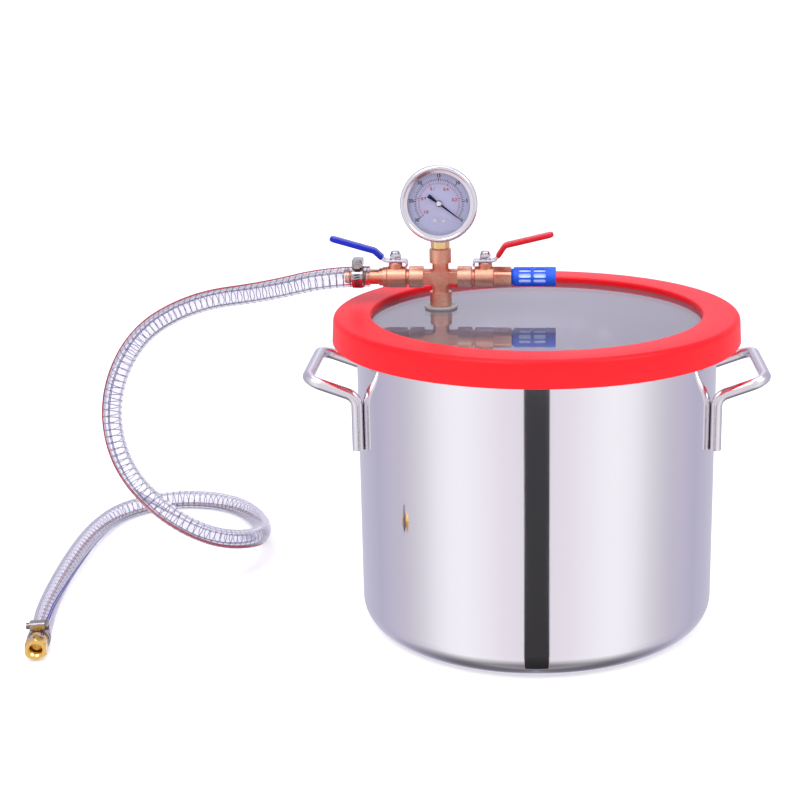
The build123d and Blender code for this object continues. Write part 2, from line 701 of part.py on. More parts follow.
with BuildPart() as gauge_dial:
    with BuildSketch(gauge_plane(dial_face)):
        Circle(case_r - case_wall - lid_gap)
        Circle(spindle_r + 4 * spindle_gap, mode=Mode.SUBTRACT)
        with Locations(*[(way * dial_screw_x, -dial_screw_low) for way in (-1, 1)]):
            Circle(dial_screw_r, mode=Mode.SUBTRACT)
    extrude(amount=dial_thick)
finish(gauge_dial, "gauge_dial")

with BuildPart() as dial_screws:
    for way in (-1, 1):
        with BuildSketch(gauge_plane(dial_face)):
            with Locations((way * dial_screw_x, -dial_screw_low)):
                Circle(dial_screw_r)
        extrude(amount=dial_thick + dial_screw_len)
        with BuildSketch(gauge_plane(dial_face - dial_screw_head)):
            with Locations((way * dial_screw_x, -dial_screw_low)):
                Circle(1.6 * dial_screw_r)
        extrude(amount=dial_screw_head)
finish(dial_screws, "dial_screws")

plate_front = dial_back + movement_step
plate_back = plate_front + movement_deep
with BuildPart() as gauge_movement:
    for depth in (plate_front, plate_back):
        with BuildSketch(gauge_plane(depth)):
            Rectangle(2 * movement_half, 2 * movement_half)
            Circle(spindle_r + spindle_gap, mode=Mode.SUBTRACT)
        extrude(amount=movement_plate)
    with BuildSketch(gauge_plane(plate_front)):
        with GridLocations(2 * (movement_half - 1.8), 2 * (movement_half - 1.8), 2, 2):
            Circle(movement_post_r)
    extrude(amount=movement_deep)
finish(gauge_movement, "gauge_movement")

with BuildPart() as pointer_spindle:
    with BuildSketch(gauge_plane(dial_face - pointer_up)):
        Circle(spindle_r)
    extrude(amount=plate_back + movement_plate + 0.6 - dial_face + pointer_up)
    with BuildSketch(gauge_plane(plate_front + movement_plate + 0.3)):
        Circle(pinion_r)
    extrude(amount=movement_deep - movement_plate - 0.6)
finish(pointer_spindle, "pointer_spindle")

needle = radians(pointer_rest)
with BuildPart() as gauge_pointer:
    with BuildSketch(Plane(origin=gauge_centre + Vector(0, dial_face - pointer_up, 0),
                           x_dir=(cos(needle), 0, sin(needle)), z_dir=(0, -1, 0))):
        with BuildLine():
            Polyline((pointer_len, 0.15), (pointer_len - 4, 0.45), (0, 0.8), (-4, 1.0),
                     (-pointer_tail, pointer_tail_half), (-pointer_tail, -pointer_tail_half), (-4, -1.0),
                     (0, -0.8), (pointer_len - 4, -0.45), (pointer_len, -0.15), close=True)
        make_face()
        Circle(pointer_hub_r)
        Circle(spindle_r, mode=Mode.SUBTRACT)
    extrude(amount=pointer_thick)
finish(gauge_pointer, "gauge_pointer")

# ================================================================ hose
# The hose leaves the barb level, arches over and down behind the left side,
# makes one loop on the floor and ends in front, under its own descending part.
hose_route = [
    tuple(hose_start),
    (-176.0, 33.0, 289.5),
    (-231.0, 45.0, 274.0),
    (-299.0, 66.0, 261.0),
    (-358.0, 94.0, 224.0),
    (-385.0, 90.0, 168.0),
    (-374.0, 64.0, 116.0),
    (-335.0, 36.0, 80.0),
    (-290.0, 46.0, 48.0),
    (-255.0, 97.0, 29.0),
    (-270.0, 198.0, 10.0),
    (-308.0, 258.0, 9.0),
    (-366.0, 272.0, 9.0),
    (-415.0, 240.0, 9.0),
    (-431.0, 180.0, 9.0),
    (-431.0, 84.0, 9.0),
    (-424.0, -12.0, 9.0),
    (-414.0, -66.0, 9.3),
    (-409.0, -96.0, 9.8),
]


def bend_radii(points):
    """One radius for each corner, as large as the two runs beside it allow."""
    radii = []
    for before, corner, after in zip(points, points[1:], points[2:]):
        run_in = Vector(*corner) - Vector(*before)
        run_out = Vector(*after) - Vector(*corner)
        half_turn = radians(run_in.get_angle(run_out)) / 2
        radii.append(0.45 * min(run_in.length, run_out.length) / tan(half_turn))
    return radii


hose_radii = bend_radii(hose_route)
print("hose bend radii", [round(radius) for radius in hose_radii])
with BuildPart() as vacuum_hose:
    with BuildLine() as hose_line:
        FilletPolyline(*hose_route, radius=hose_radii)
    with BuildSketch(Plane(origin=hose_start, z_dir=hose_out)):
        Circle(hose_r)
        Circle(hose_bore_r, mode=Mode.SUBTRACT)
    sweep(path=hose_line.wire())
hose_length = hose_line.wire().length
hose_section = pi * (hose_r ** 2 - hose_bore_r ** 2)
print("hose length", round(hose_length, 1), "volume / section x length",
      round(vacuum_hose.part.volume / (hose_section * hose_length), 4))
finish(vacuum_hose, "vacuum_hose")

# ================================================================ end fitting
end_out = (Vector(*hose_route[-1]) - Vector(*hose_route[-2])).normalized()
hose_end = Vector(*hose_route[-1])
end_side = Vector(0, 0, 1).cross(end_out).normalized()
end_up = end_out.cross(end_side)
mouth = end_neck_len + end_hex_len
with BuildPart() as end_fitting:
    with BuildSketch(Plane(origin=hose_end + end_out * end_neck_len, x_dir=end_side, z_dir=end_out)):
        RegularPolygon(end_hex_flats / 2, 6, major_radius=False, rotation=30)
    extrude(amount=end_hex_len)
    with BuildSketch(Plane(origin=hose_end + end_out * mouth, x_dir=end_side, z_dir=-end_out)):
        Circle(end_hex_flats / 2 + 0.3)
    extrude(amount=end_hex_len, taper=-24, mode=Mode.INTERSECT)
    with BuildSketch(Plane(origin=hose_end, x_dir=end_out, z_dir=-end_side)):
        with BuildLine():
            Polyline((end_neck_len, barb_bore_r), (end_neck_len, barb_neck_r), (0, barb_neck_r),
                     *[(-along, out) for along, out in hose_tail(0.0)], close=True)
        make_face()
    revolve(axis=Axis(hose_end, end_out))
    with BuildSketch(Plane(origin=hose_end + end_out * mouth, z_dir=-end_out)):
        Circle(end_bore_r)
    extrude(amount=end_bore_deep, mode=Mode.SUBTRACT)
    with BuildSketch(Plane(origin=hose_end + end_out * mouth, z_dir=-end_out)):
        Circle(barb_bore_r)
    extrude(amount=mouth, mode=Mode.SUBTRACT)
finish(end_fitting, "end_fitting")


# ================================================================ hose clamps
def make_clamp(middle, along, up, name):
    """A worm-drive clamp round the hose: the band with its screw housing, then the screw."""
    across = up.cross(along).normalized()
    band_r = hose_r + clamp_thick
    screw_line = middle + up * (band_r + clamp_box_high / 2)
    with BuildPart() as band:
        with BuildSketch(Plane(origin=screw_line - across * (clamp_box_long / 2), x_dir=along, z_dir=across)):
            RectangleRounded(clamp_wide, clamp_box_high + 2 * clamp_thick, 1.6)
        extrude(amount=clamp_box_long)
        with BuildSketch(Plane(origin=middle - along * (clamp_wide / 2), x_dir=across, z_dir=along)):
            Circle(band_r)
        extrude(amount=clamp_wide)
        with BuildSketch(Plane(origin=middle - along * clamp_wide, x_dir=across, z_dir=along)):
            Circle(hose_r)
        extrude(amount=2 * clamp_wide, mode=Mode.SUBTRACT)
        with BuildSketch(Plane(origin=screw_line - across * clamp_box_long, x_dir=along, z_dir=across)):
            Circle(clamp_screw_r)
        extrude(amount=2 * clamp_box_long, mode=Mode.SUBTRACT)
    finish(band, f"{name}_band")
    head_seat = screw_line + across * (clamp_box_long / 2)
    with BuildPart() as screw:
        with BuildSketch(Plane(origin=head_seat, x_dir=along, z_dir=-across)):
            Circle(clamp_screw_r)
        extrude(amount=clamp_screw_len)
        with BuildSketch(Plane(origin=head_seat, x_dir=along, z_dir=across)):
            RegularPolygon(clamp_head_r, 6)
        extrude(amount=clamp_head_len)
        with BuildSketch(Plane(origin=head_seat + across * clamp_head_len, x_dir=along, z_dir=-across)):
            Rectangle(2 * clamp_head_r, 1.0)
        extrude(amount=1.2, mode=Mode.SUBTRACT)
    finish(screw, f"{name}_screw")


make_clamp(hose_start + hose_out * clamp_from_end, hose_out, Vector(0, 0, 1), "barb_clamp")
make_clamp(hose_end - end_out * clamp_from_end, end_out, end_up, "end_clamp")
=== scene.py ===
# %% [markdown]
# # A vacuum chamber, dressed for a studio picture
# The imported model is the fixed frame. Every rigid part already stands in its place, so this script gives each part
# its finish, swaps the plain hose for a clear one with its wire, draws some forms closer to the real product, prints
# the dial and sets up the studio. We work in metres.

# %% Load the frame
import json
import math
import bpy
import numpy as np
from mathutils import Matrix, Vector


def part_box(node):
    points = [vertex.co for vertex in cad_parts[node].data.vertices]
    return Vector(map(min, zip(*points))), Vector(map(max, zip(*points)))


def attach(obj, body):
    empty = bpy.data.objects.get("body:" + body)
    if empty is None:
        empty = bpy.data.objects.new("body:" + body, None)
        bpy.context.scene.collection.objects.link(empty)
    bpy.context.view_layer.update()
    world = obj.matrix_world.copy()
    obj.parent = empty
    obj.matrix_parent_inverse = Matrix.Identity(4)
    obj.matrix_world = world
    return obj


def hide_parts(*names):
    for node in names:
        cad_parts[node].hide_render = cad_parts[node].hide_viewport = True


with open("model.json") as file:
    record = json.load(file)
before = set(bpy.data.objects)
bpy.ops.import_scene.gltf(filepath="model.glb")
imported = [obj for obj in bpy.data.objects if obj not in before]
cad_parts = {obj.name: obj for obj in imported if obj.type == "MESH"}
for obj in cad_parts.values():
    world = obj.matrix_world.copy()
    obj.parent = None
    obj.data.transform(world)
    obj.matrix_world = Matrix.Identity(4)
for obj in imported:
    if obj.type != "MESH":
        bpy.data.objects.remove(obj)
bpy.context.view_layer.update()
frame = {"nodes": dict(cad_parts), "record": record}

MM = 0.001

# %% [markdown]
# ## Small tools
# Operators act on whatever is selected, so a piece is always picked alone before an operator runs. A copy gets its
# own mesh, and its place is written into that mesh, because a finished piece keeps its object at the origin.

# %% Tools for picking, copying and joining
def pick(piece):
    bpy.ops.object.select_all(action="DESELECT")
    piece.select_set(True)
    bpy.context.view_layer.objects.active = piece
    return piece

def settle(piece, name):
    piece.data.transform(piece.matrix_world)
    piece.matrix_world = Matrix.Identity(4)
    piece.name = piece.data.name = name
    return piece

def copy_placed(piece, place):
    twin = piece.copy()
    twin.data = piece.data.copy()
    twin.data.transform(place)
    bpy.context.scene.collection.objects.link(twin)
    return twin

def join(pieces, name):
    pick(pieces[0])
    for piece in pieces:
        piece.select_set(True)
    bpy.ops.object.join()
    return settle(bpy.context.active_object, name)

def middle(node):
    low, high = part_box(node)
    return (low + high) / 2

print("tools ready")

# %% [markdown]
# ## Camera
# A long lens from a little above the lid keeps the pot's sides upright. The pot stands right of the middle, so the
# lens is shifted sideways instead of turned, which keeps the view straight on.

# %% Camera
camera = bpy.data.objects.new("camera", bpy.data.cameras.new("camera"))
bpy.context.scene.collection.objects.link(camera)
camera.location = (0.0, -1.37416, 0.57903)
camera.rotation_euler = (math.pi / 2 - 0.2757, 0.0, 0.0)
camera.data.sensor_width = 36.0
camera.data.lens = 76.1
camera.data.shift_x = -0.171
camera.data.clip_end = 100.0
bpy.context.scene.camera = camera
bpy.context.scene.view_settings.view_transform = "Standard"
print("camera at", tuple(round(v, 3) for v in camera.location))

# %% [markdown]
# ## The hose's line
# The hose is stiff wire-wound tube about 1.15 m long. It arches from the left valve, comes down beside the pot, makes
# one loop and ends in front. A NURBS spline of order three takes the route's points as its control points, so
# the line has no corners. The order and the end setting are given after the points, or the spline stays straight.

# %% Line of the hose
ROUTE = [(-141.2, 33, 289.5), (-176, 33, 289.5), (-231, 45, 274), (-299, 66, 261), (-358, 94, 224), (-385, 90, 168),
         (-374, 64, 116), (-335, 36, 80), (-290, 46, 48), (-255, 97, 29), (-270, 198, 10), (-308, 258, 9),
         (-366, 272, 9), (-415, 240, 9), (-431, 180, 9), (-431, 84, 9), (-424, -12, 9), (-414, -66, 9.3),
         (-409, -96, 9.8)]
HOSE_ACROSS = 17.4 * MM
HOSE_GRIPPED = 17.3 * MM
HOSE_BORE = 11.8 * MM
GRIP_RUN = 30 * MM

def spline_curve(name, points, kind):
    curve = bpy.data.curves.new(name, "CURVE")
    curve.dimensions = "3D"
    spline = curve.splines.new(kind)
    spline.points.add(len(points) - 1)
    for spot, point in zip(spline.points, points):
        spot.co = (*point, 1.0)
    if kind == "NURBS":
        spline.use_endpoint_u = True
        spline.order_u = 3
    made = bpy.data.objects.new(name, curve)
    bpy.context.scene.collection.objects.link(made)
    return made

def as_mesh(curve_piece, name):
    pick(curve_piece)
    bpy.ops.object.convert(target="MESH")
    return settle(bpy.context.active_object, name)

hose = spline_curve("vacuum_hose_skin", [Vector(p) * MM for p in ROUTE], "NURBS")
hose.data.resolution_u = 20
grip_share = HOSE_GRIPPED / HOSE_ACROSS
for spot in (*hose.data.splines[0].points[:2], *hose.data.splines[0].points[-2:]):
    spot.radius = grip_share
bpy.context.view_layer.update()
line_mesh = bpy.data.meshes.new_from_object(hose)
line = np.array([v.co[:] for v in line_mesh.vertices])
bpy.data.meshes.remove(line_mesh)
run = np.concatenate([[0.0], np.cumsum(np.linalg.norm(np.diff(line, axis=0), axis=1))])

def swell(distances):
    return np.interp(distances, [0.0, GRIP_RUN, run[-1] - GRIP_RUN, run[-1]], [grip_share, 1.0, 1.0, grip_share])

print("hose line", len(line), "points,", round(run[-1], 4), "m")

# %% [markdown]
# ## The clear wall
# Clear hose is a wall of soft plastic with air inside, and glass-like shading needs both faces of that wall. The
# line gets a round bevel, becomes a mesh tube, and Solidify gives it its wall inwards.

# %% Wall of the hose
hose.data.bevel_depth = HOSE_ACROSS / 2
hose.data.bevel_resolution = 6
hose = as_mesh(hose, "vacuum_hose_skin")
wall = hose.modifiers.new("wall", "SOLIDIFY")
wall.thickness = (HOSE_ACROSS - HOSE_BORE) / 2
wall.offset = -1.0
wall.use_even_offset = False
bpy.ops.object.modifier_apply(modifier="wall")
bpy.ops.object.shade_smooth_by_angle(angle=math.radians(50))
print("hose wall", len(hose.data.polygons), "faces")

# %% [markdown]
# ## Wire and tracer lines
# A spring of thin wire sits inside the wall and keeps the hose round under vacuum. It follows the hose's line: a
# frame that doesn't twist is carried along the line, and the wire is laid at a radius and an angle in that frame.

# %% Frames along the hose
def carried_frames(points):
    ahead = np.gradient(points, axis=0)
    ahead /= np.linalg.norm(ahead, axis=1)[:, None]
    side = np.zeros_like(points)
    first = np.cross(ahead[0], (0.0, 0.0, 1.0))
    side[0] = first / np.linalg.norm(first)
    for k in range(1, len(points)):
        moved = side[k - 1] - ahead[k] * np.dot(side[k - 1], ahead[k])
        side[k] = moved / np.linalg.norm(moved)
    return side, np.cross(side, ahead)

side, above = carried_frames(line)

def along_hose(distances, radius, angles):
    spots = []
    for axis in range(3):
        middle_line = np.interp(distances, run, line[:, axis])
        out = np.interp(distances, run, side[:, axis]) * np.cos(angles)
        up = np.interp(distances, run, above[:, axis]) * np.sin(angles)
        spots.append(middle_line + radius * swell(distances) * (out + up))
    return np.stack(spots, axis=1)

def wire(name, points, thickness, rounding=1):
    made = spline_curve(name, [tuple(p) for p in points], "POLY")
    made.data.bevel_depth = thickness / 2
    made.data.bevel_resolution = rounding
    made.data.use_fill_caps = True
    made = as_mesh(made, name)
    bpy.ops.object.shade_smooth()
    return made

CLOSE_PITCH, WIDE_PITCH = 6.0 * MM, 8.4 * MM
DEEP_RADIUS, SHALLOW_RADIUS = 6.9 * MM, 7.9 * MM
CLOSE_UNTIL, SHALLOW_FROM, WIDE_FROM = 0.8, 0.95, 0.98
WIRE_ACROSS = 0.66 * MM
POINTS_PER_TURN = 14
along = np.linspace(MM, run[-1] - MM, int(run[-1] / CLOSE_PITCH * POINTS_PER_TURN))
pitch = np.interp(along, [0.0, CLOSE_UNTIL, WIDE_FROM, run[-1]], [CLOSE_PITCH, CLOSE_PITCH, WIDE_PITCH, WIDE_PITCH])
turned_by = np.cumsum(np.gradient(along) / pitch) * 2 * math.pi
wire_radius = np.interp(along, [0.0, CLOSE_UNTIL, SHALLOW_FROM, run[-1]],
                        [DEEP_RADIUS, DEEP_RADIUS, SHALLOW_RADIUS, SHALLOW_RADIUS])
spring = wire("hose_spring_wire", along_hose(along, wire_radius, turned_by), WIRE_ACROSS)
print("spring", round(turned_by[-1] / (2 * math.pi)), "turns")

# %% [markdown]
# ## Tracer lines
# Clear hose is often sold with coloured lines along it. Here a red pair and a blue pair stand just proud of the wall.
# Each pair drifts slowly round the hose, so its angle is given at a few places along the line and read in between.

# %% Tracer lines
RED_PLACES = (0.0, 0.5, 1.15)
RED_TURNS = (84.0, 145.0, 150.0)
BLUE_PLACES = (0.0, 0.5, 0.65, 0.8, 0.9, 0.963, 1.03, 1.08, 1.13)
BLUE_TURNS = (20, 55, 90, 92, 55, 30, 4, -18, -38)
TRACER_RADIUS, TRACER_ACROSS, TRACER_APART = 8.4 * MM, 1.1 * MM, 0.12
LINE_POINTS = 420
distances = np.linspace(0.0, run[-1], LINE_POINTS)

def tracer(name, places, turns_at, offsets):
    angles = np.radians(np.interp(distances, places, turns_at))
    return join([wire(name, along_hose(distances, TRACER_RADIUS, angles + offset), TRACER_ACROSS)
                 for offset in offsets], name)

red_lines = tracer("hose_red_lines", RED_PLACES, RED_TURNS, (-TRACER_APART, TRACER_APART))
blue_lines = tracer("hose_blue_lines", BLUE_PLACES, BLUE_TURNS, (0.0, 1.6 * TRACER_APART))
print("tracer lines", red_lines.name, blue_lines.name)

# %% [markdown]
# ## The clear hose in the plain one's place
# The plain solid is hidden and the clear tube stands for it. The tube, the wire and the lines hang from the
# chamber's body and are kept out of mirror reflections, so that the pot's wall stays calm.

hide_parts("vacuum_hose")
for piece in (hose, spring, red_lines, blue_lines):
    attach(piece, "chamber")
    piece.visible_glossy = False

# %% [markdown]
# ## Floor
# A wide pale sheet with a faint grain. It is left out of mirror reflections, so the steel shows the
# studio's bright and dark fields from top to bottom, as a polished pot in a light tent does.

# %% Floor
FLOOR_SIZE, FLOOR_LEVEL = 60.0, -0.0002
bpy.ops.object.select_all(action="DESELECT")
bpy.ops.mesh.primitive_plane_add(size=FLOOR_SIZE, location=(0.0, 0.0, FLOOR_LEVEL))
floor = bpy.context.active_object
bpy.ops.object.mode_set(mode="EDIT")
bpy.ops.mesh.subdivide(number_cuts=3)
bpy.ops.object.mode_set(mode="OBJECT")
settle(floor, "floor")
floor.visible_glossy = False
print("floor", len(floor.data.polygons), "faces")

# %% [markdown]
# ## Light
# A tent of white cloth surrounds the pot, with bright fields left and right of the camera and softer light behind.
# The world gives it as a ramp over the direction round the pot, darker straight below. The camera, and light that
# has passed through clear hose or glass, see plain white instead.

# %% Tent of light
tent = bpy.data.worlds.new("tent")
bpy.context.scene.world = tent
tent.use_nodes = True
nodes, links = tent.node_tree.nodes, tent.node_tree.links
way = nodes.new("ShaderNodeTexCoord")
split = nodes.new("ShaderNodeSeparateXYZ")
links.new(way.outputs["Generated"], split.inputs[0])
towards = nodes.new("ShaderNodeMath")
towards.operation = "MULTIPLY"
towards.inputs[1].default_value = -1.0
links.new(split.outputs["Y"], towards.inputs[0])
turned = nodes.new("ShaderNodeMath")
turned.operation = "ARCTAN2"
links.new(split.outputs["X"], turned.inputs[0])
links.new(towards.outputs[0], turned.inputs[1])
folded = nodes.new("ShaderNodeMath")
folded.operation = "ABSOLUTE"
links.new(turned.outputs[0], folded.inputs[0])
share = nodes.new("ShaderNodeMath")
share.operation = "DIVIDE"
share.inputs[1].default_value = math.pi
links.new(folded.outputs[0], share.inputs[0])
cloth = nodes.new("ShaderNodeValToRGB")
links.new(share.outputs[0], cloth.inputs[0])
TENT = [(0.0, (0.82, 0.79, 0.85)), (0.12, (0.9, 0.855, 0.915)), (0.217, (0.98, 0.965, 1.01)),
        (0.27, (1.02, 1.0, 1.04)), (0.32, (1.0, 0.98, 1.02)), (0.37, (0.91, 0.9, 0.945)), (0.42, (0.79, 0.77, 0.83)),
        (0.47, (0.68, 0.665, 0.73)), (0.53, (0.61, 0.575, 0.67)), (0.6, (0.57, 0.54, 0.665)),
        (0.68, (0.51, 0.49, 0.615)), (0.8, (0.57, 0.55, 0.67)), (0.93, (0.62, 0.6, 0.72)), (1.0, (1.0, 0.96, 1.14))]
stops = cloth.color_ramp.elements
stops[0].position, stops[1].position = TENT[0][0], TENT[-1][0]
for place, colour in TENT[1:-1]:
    stops.new(place)
for stop, (place, colour) in zip(stops, TENT):
    stop.position, stop.color = place, (*colour, 1.0)
below = nodes.new("ShaderNodeMapRange")
for label, value in (("From Min", -0.9), ("From Max", -0.62), ("To Min", 0.3), ("To Max", 1.0)):
    below.inputs[label].default_value = value
links.new(split.outputs["Z"], below.inputs["Value"])
darker = nodes.new("ShaderNodeMix")
darker.data_type, darker.blend_type = "RGBA", "MULTIPLY"
darker.inputs["Factor"].default_value = 1.0
links.new(cloth.outputs["Color"], darker.inputs["A"])
links.new(below.outputs["Result"], darker.inputs["B"])
ray = nodes.new("ShaderNodeLightPath")
seen = nodes.new("ShaderNodeMix")
seen.data_type = "RGBA"
seen.inputs["B"].default_value = (0.97, 0.97, 0.97, 1.0)
either = nodes.new("ShaderNodeMath")
either.operation = "MAXIMUM"
links.new(ray.outputs["Is Camera Ray"], either.inputs[0])
links.new(ray.outputs["Is Transmission Ray"], either.inputs[1])
links.new(either.outputs[0], seen.inputs["Factor"])
links.new(darker.outputs["Result"], seen.inputs["A"])
links.new(seen.outputs["Result"], nodes["Background"].inputs["Color"])
nodes["Background"].inputs["Strength"].default_value = 1.0
print("tent has", len(stops), "fields")

# %% [markdown]
# ## Lamps
# The tent alone lights everything evenly. Three large soft lamps aimed at the middle of the pot add gentle shadows.

# %% Soft lamps
LAMPS_AIM = Vector((0.0, 0.0, 0.2))

def soft_lamp(name, place, size, power):
    lamp = bpy.data.objects.new(name, bpy.data.lights.new(name, "AREA"))
    lamp.data.shape = "DISK"
    lamp.data.size = size
    lamp.data.energy = power
    bpy.context.scene.collection.objects.link(lamp)
    lamp.location = place
    lamp.rotation_euler = (LAMPS_AIM - lamp.location).to_track_quat("-Z", "Y").to_euler()

soft_lamp("key", (-1.1, -1.5, 2.3), 1.6, 26.0)
soft_lamp("fill", (1.5, -0.9, 1.9), 1.4, 14.0)
soft_lamp("top", (0.0, 0.4, 2.6), 2.0, 12.0)
print("three soft lamps")

# %% [markdown]
# ## A dark strip in front
# A polished pot shows one dark upright band, where the tent is open for the camera. A wedge of dark cloth on the floor
# gives that band to the pot alone, because only rays mirrored down by its wall meet the cloth. Nothing else sees it.

# %% Dark cloth for the pot's reflection
NEAR_HALF, FAR_HALF, NEAR_Y, FAR_Y, CLOTH_HEIGHT = 0.0099, 0.142, -0.148, -1.1, 0.0004
bpy.ops.object.select_all(action="DESELECT")
bpy.ops.mesh.primitive_plane_add(size=2.0)
cloth_strip = bpy.context.active_object
for corner in cloth_strip.data.vertices:
    near = corner.co.y > 0.0
    corner.co.x *= NEAR_HALF if near else FAR_HALF
    corner.co.y = NEAR_Y if near else FAR_Y
    corner.co.z = CLOTH_HEIGHT
settle(cloth_strip, "cloth_strip")
for kind in ("camera", "diffuse", "transmission", "shadow", "volume_scatter"):
    setattr(cloth_strip, "visible_" + kind, False)
print("cloth strip", round(NEAR_Y - FAR_Y, 3), "m long")

# %% [markdown]
# ## Shared effects
# Real finishes are never even. Four node groups give the unevenness that all materials share: soft colour blotches,
# a grain that can be stretched one way, fine specks, and a mask for worn edges. A group gives only
# colours and values, and each material keeps its own shader.

# %% Groups for variation, grain, specks and wear
def new_group(name, takes, gives):
    group = bpy.data.node_groups.new(name, "ShaderNodeTree")
    for kind, rows in (("INPUT", takes), ("OUTPUT", gives)):
        for label, socket in rows:
            group.interface.new_socket(label, in_out=kind, socket_type="NodeSocket" + socket)
    enter = group.nodes.new("NodeGroupInput")
    leave = group.nodes.new("NodeGroupOutput")
    return group, enter.outputs, leave.inputs

def noise(group, vector, scale, detail=3.0):
    made = group.nodes.new("ShaderNodeTexNoise")
    made.inputs["Detail"].default_value = detail
    group.links.new(vector, made.inputs["Vector"])
    if isinstance(scale, float):
        made.inputs["Scale"].default_value = scale
    else:
        group.links.new(scale, made.inputs["Scale"])
    return made.outputs["Fac"]

def calc(tree, operation, first, second=None, third=None, clamp=False):
    made = tree.nodes.new("ShaderNodeMath")
    made.operation, made.use_clamp = operation, clamp
    for slot, value in zip(made.inputs, (first, second, third)):
        if isinstance(value, (int, float)):
            slot.default_value = value
        elif value is not None:
            tree.links.new(value, slot)
    return made.outputs[0]

BLOTCH, enter, leave = new_group("blotches", [("Vector", "Vector"), ("Color", "Color"), ("Other", "Color"),
                                              ("Scale", "Float"), ("Amount", "Float")], [("Color", "Color")])
mix = BLOTCH.nodes.new("ShaderNodeMix")
mix.data_type = "RGBA"
cloud = noise(BLOTCH, enter["Vector"], enter["Scale"], 4.0)
BLOTCH.links.new(calc(BLOTCH, "MULTIPLY", cloud, enter["Amount"], clamp=True), mix.inputs["Factor"])
BLOTCH.links.new(enter["Color"], mix.inputs["A"])
BLOTCH.links.new(enter["Other"], mix.inputs["B"])
BLOTCH.links.new(mix.outputs["Result"], leave["Color"])

GRAIN, enter, leave = new_group("grain", [("Vector", "Vector"), ("Stretch", "Vector"), ("Low", "Float"),
                                          ("High", "Float")], [("Height", "Float"), ("Roughness", "Float")])
stretch = GRAIN.nodes.new("ShaderNodeVectorMath")
stretch.operation = "MULTIPLY"
GRAIN.links.new(enter["Vector"], stretch.inputs[0])
GRAIN.links.new(enter["Stretch"], stretch.inputs[1])
lines_value = noise(GRAIN, stretch.outputs[0], 1.0, 2.0)
GRAIN.links.new(lines_value, leave["Height"])
spread = GRAIN.nodes.new("ShaderNodeMapRange")
GRAIN.links.new(lines_value, spread.inputs["Value"])
spread.inputs["From Min"].default_value, spread.inputs["From Max"].default_value = 0.3, 0.7
GRAIN.links.new(enter["Low"], spread.inputs["To Min"])
GRAIN.links.new(enter["High"], spread.inputs["To Max"])
GRAIN.links.new(spread.outputs["Result"], leave["Roughness"])

SPECK, enter, leave = new_group("specks", [("Vector", "Vector"), ("Scale", "Float"), ("Least", "Float")],
                                [("Mask", "Float")])
fine = noise(SPECK, enter["Vector"], enter["Scale"], 1.0)
above_least = calc(SPECK, "SUBTRACT", fine, enter["Least"])
SPECK.links.new(calc(SPECK, "MULTIPLY", above_least, 8.0, clamp=True), leave["Mask"])

WEAR, enter, leave = new_group("worn edges", [("Vector", "Vector"), ("Edge", "Float"), ("Amount", "Float")],
                               [("Mask", "Float")])
sharp = calc(WEAR, "MULTIPLY", calc(WEAR, "SUBTRACT", enter["Edge"], 0.52), 9.0, clamp=True)
uneven = noise(WEAR, enter["Vector"], 420.0, 3.0)
WEAR.links.new(calc(WEAR, "MULTIPLY", calc(WEAR, "MULTIPLY", sharp, uneven), enter["Amount"], clamp=True),
               leave["Mask"])
print("groups", [g.name for g in (BLOTCH, GRAIN, SPECK, WEAR)])

# %% [markdown]
# ## One way to build a finish
# Each finish starts from the Principled shader. A colour pair is mixed by blotches, the grain drives roughness and
# bump, edges are worn a little lighter, and values that are the same all over are set on the shader itself.

# %% Finish builder
finishes = {}

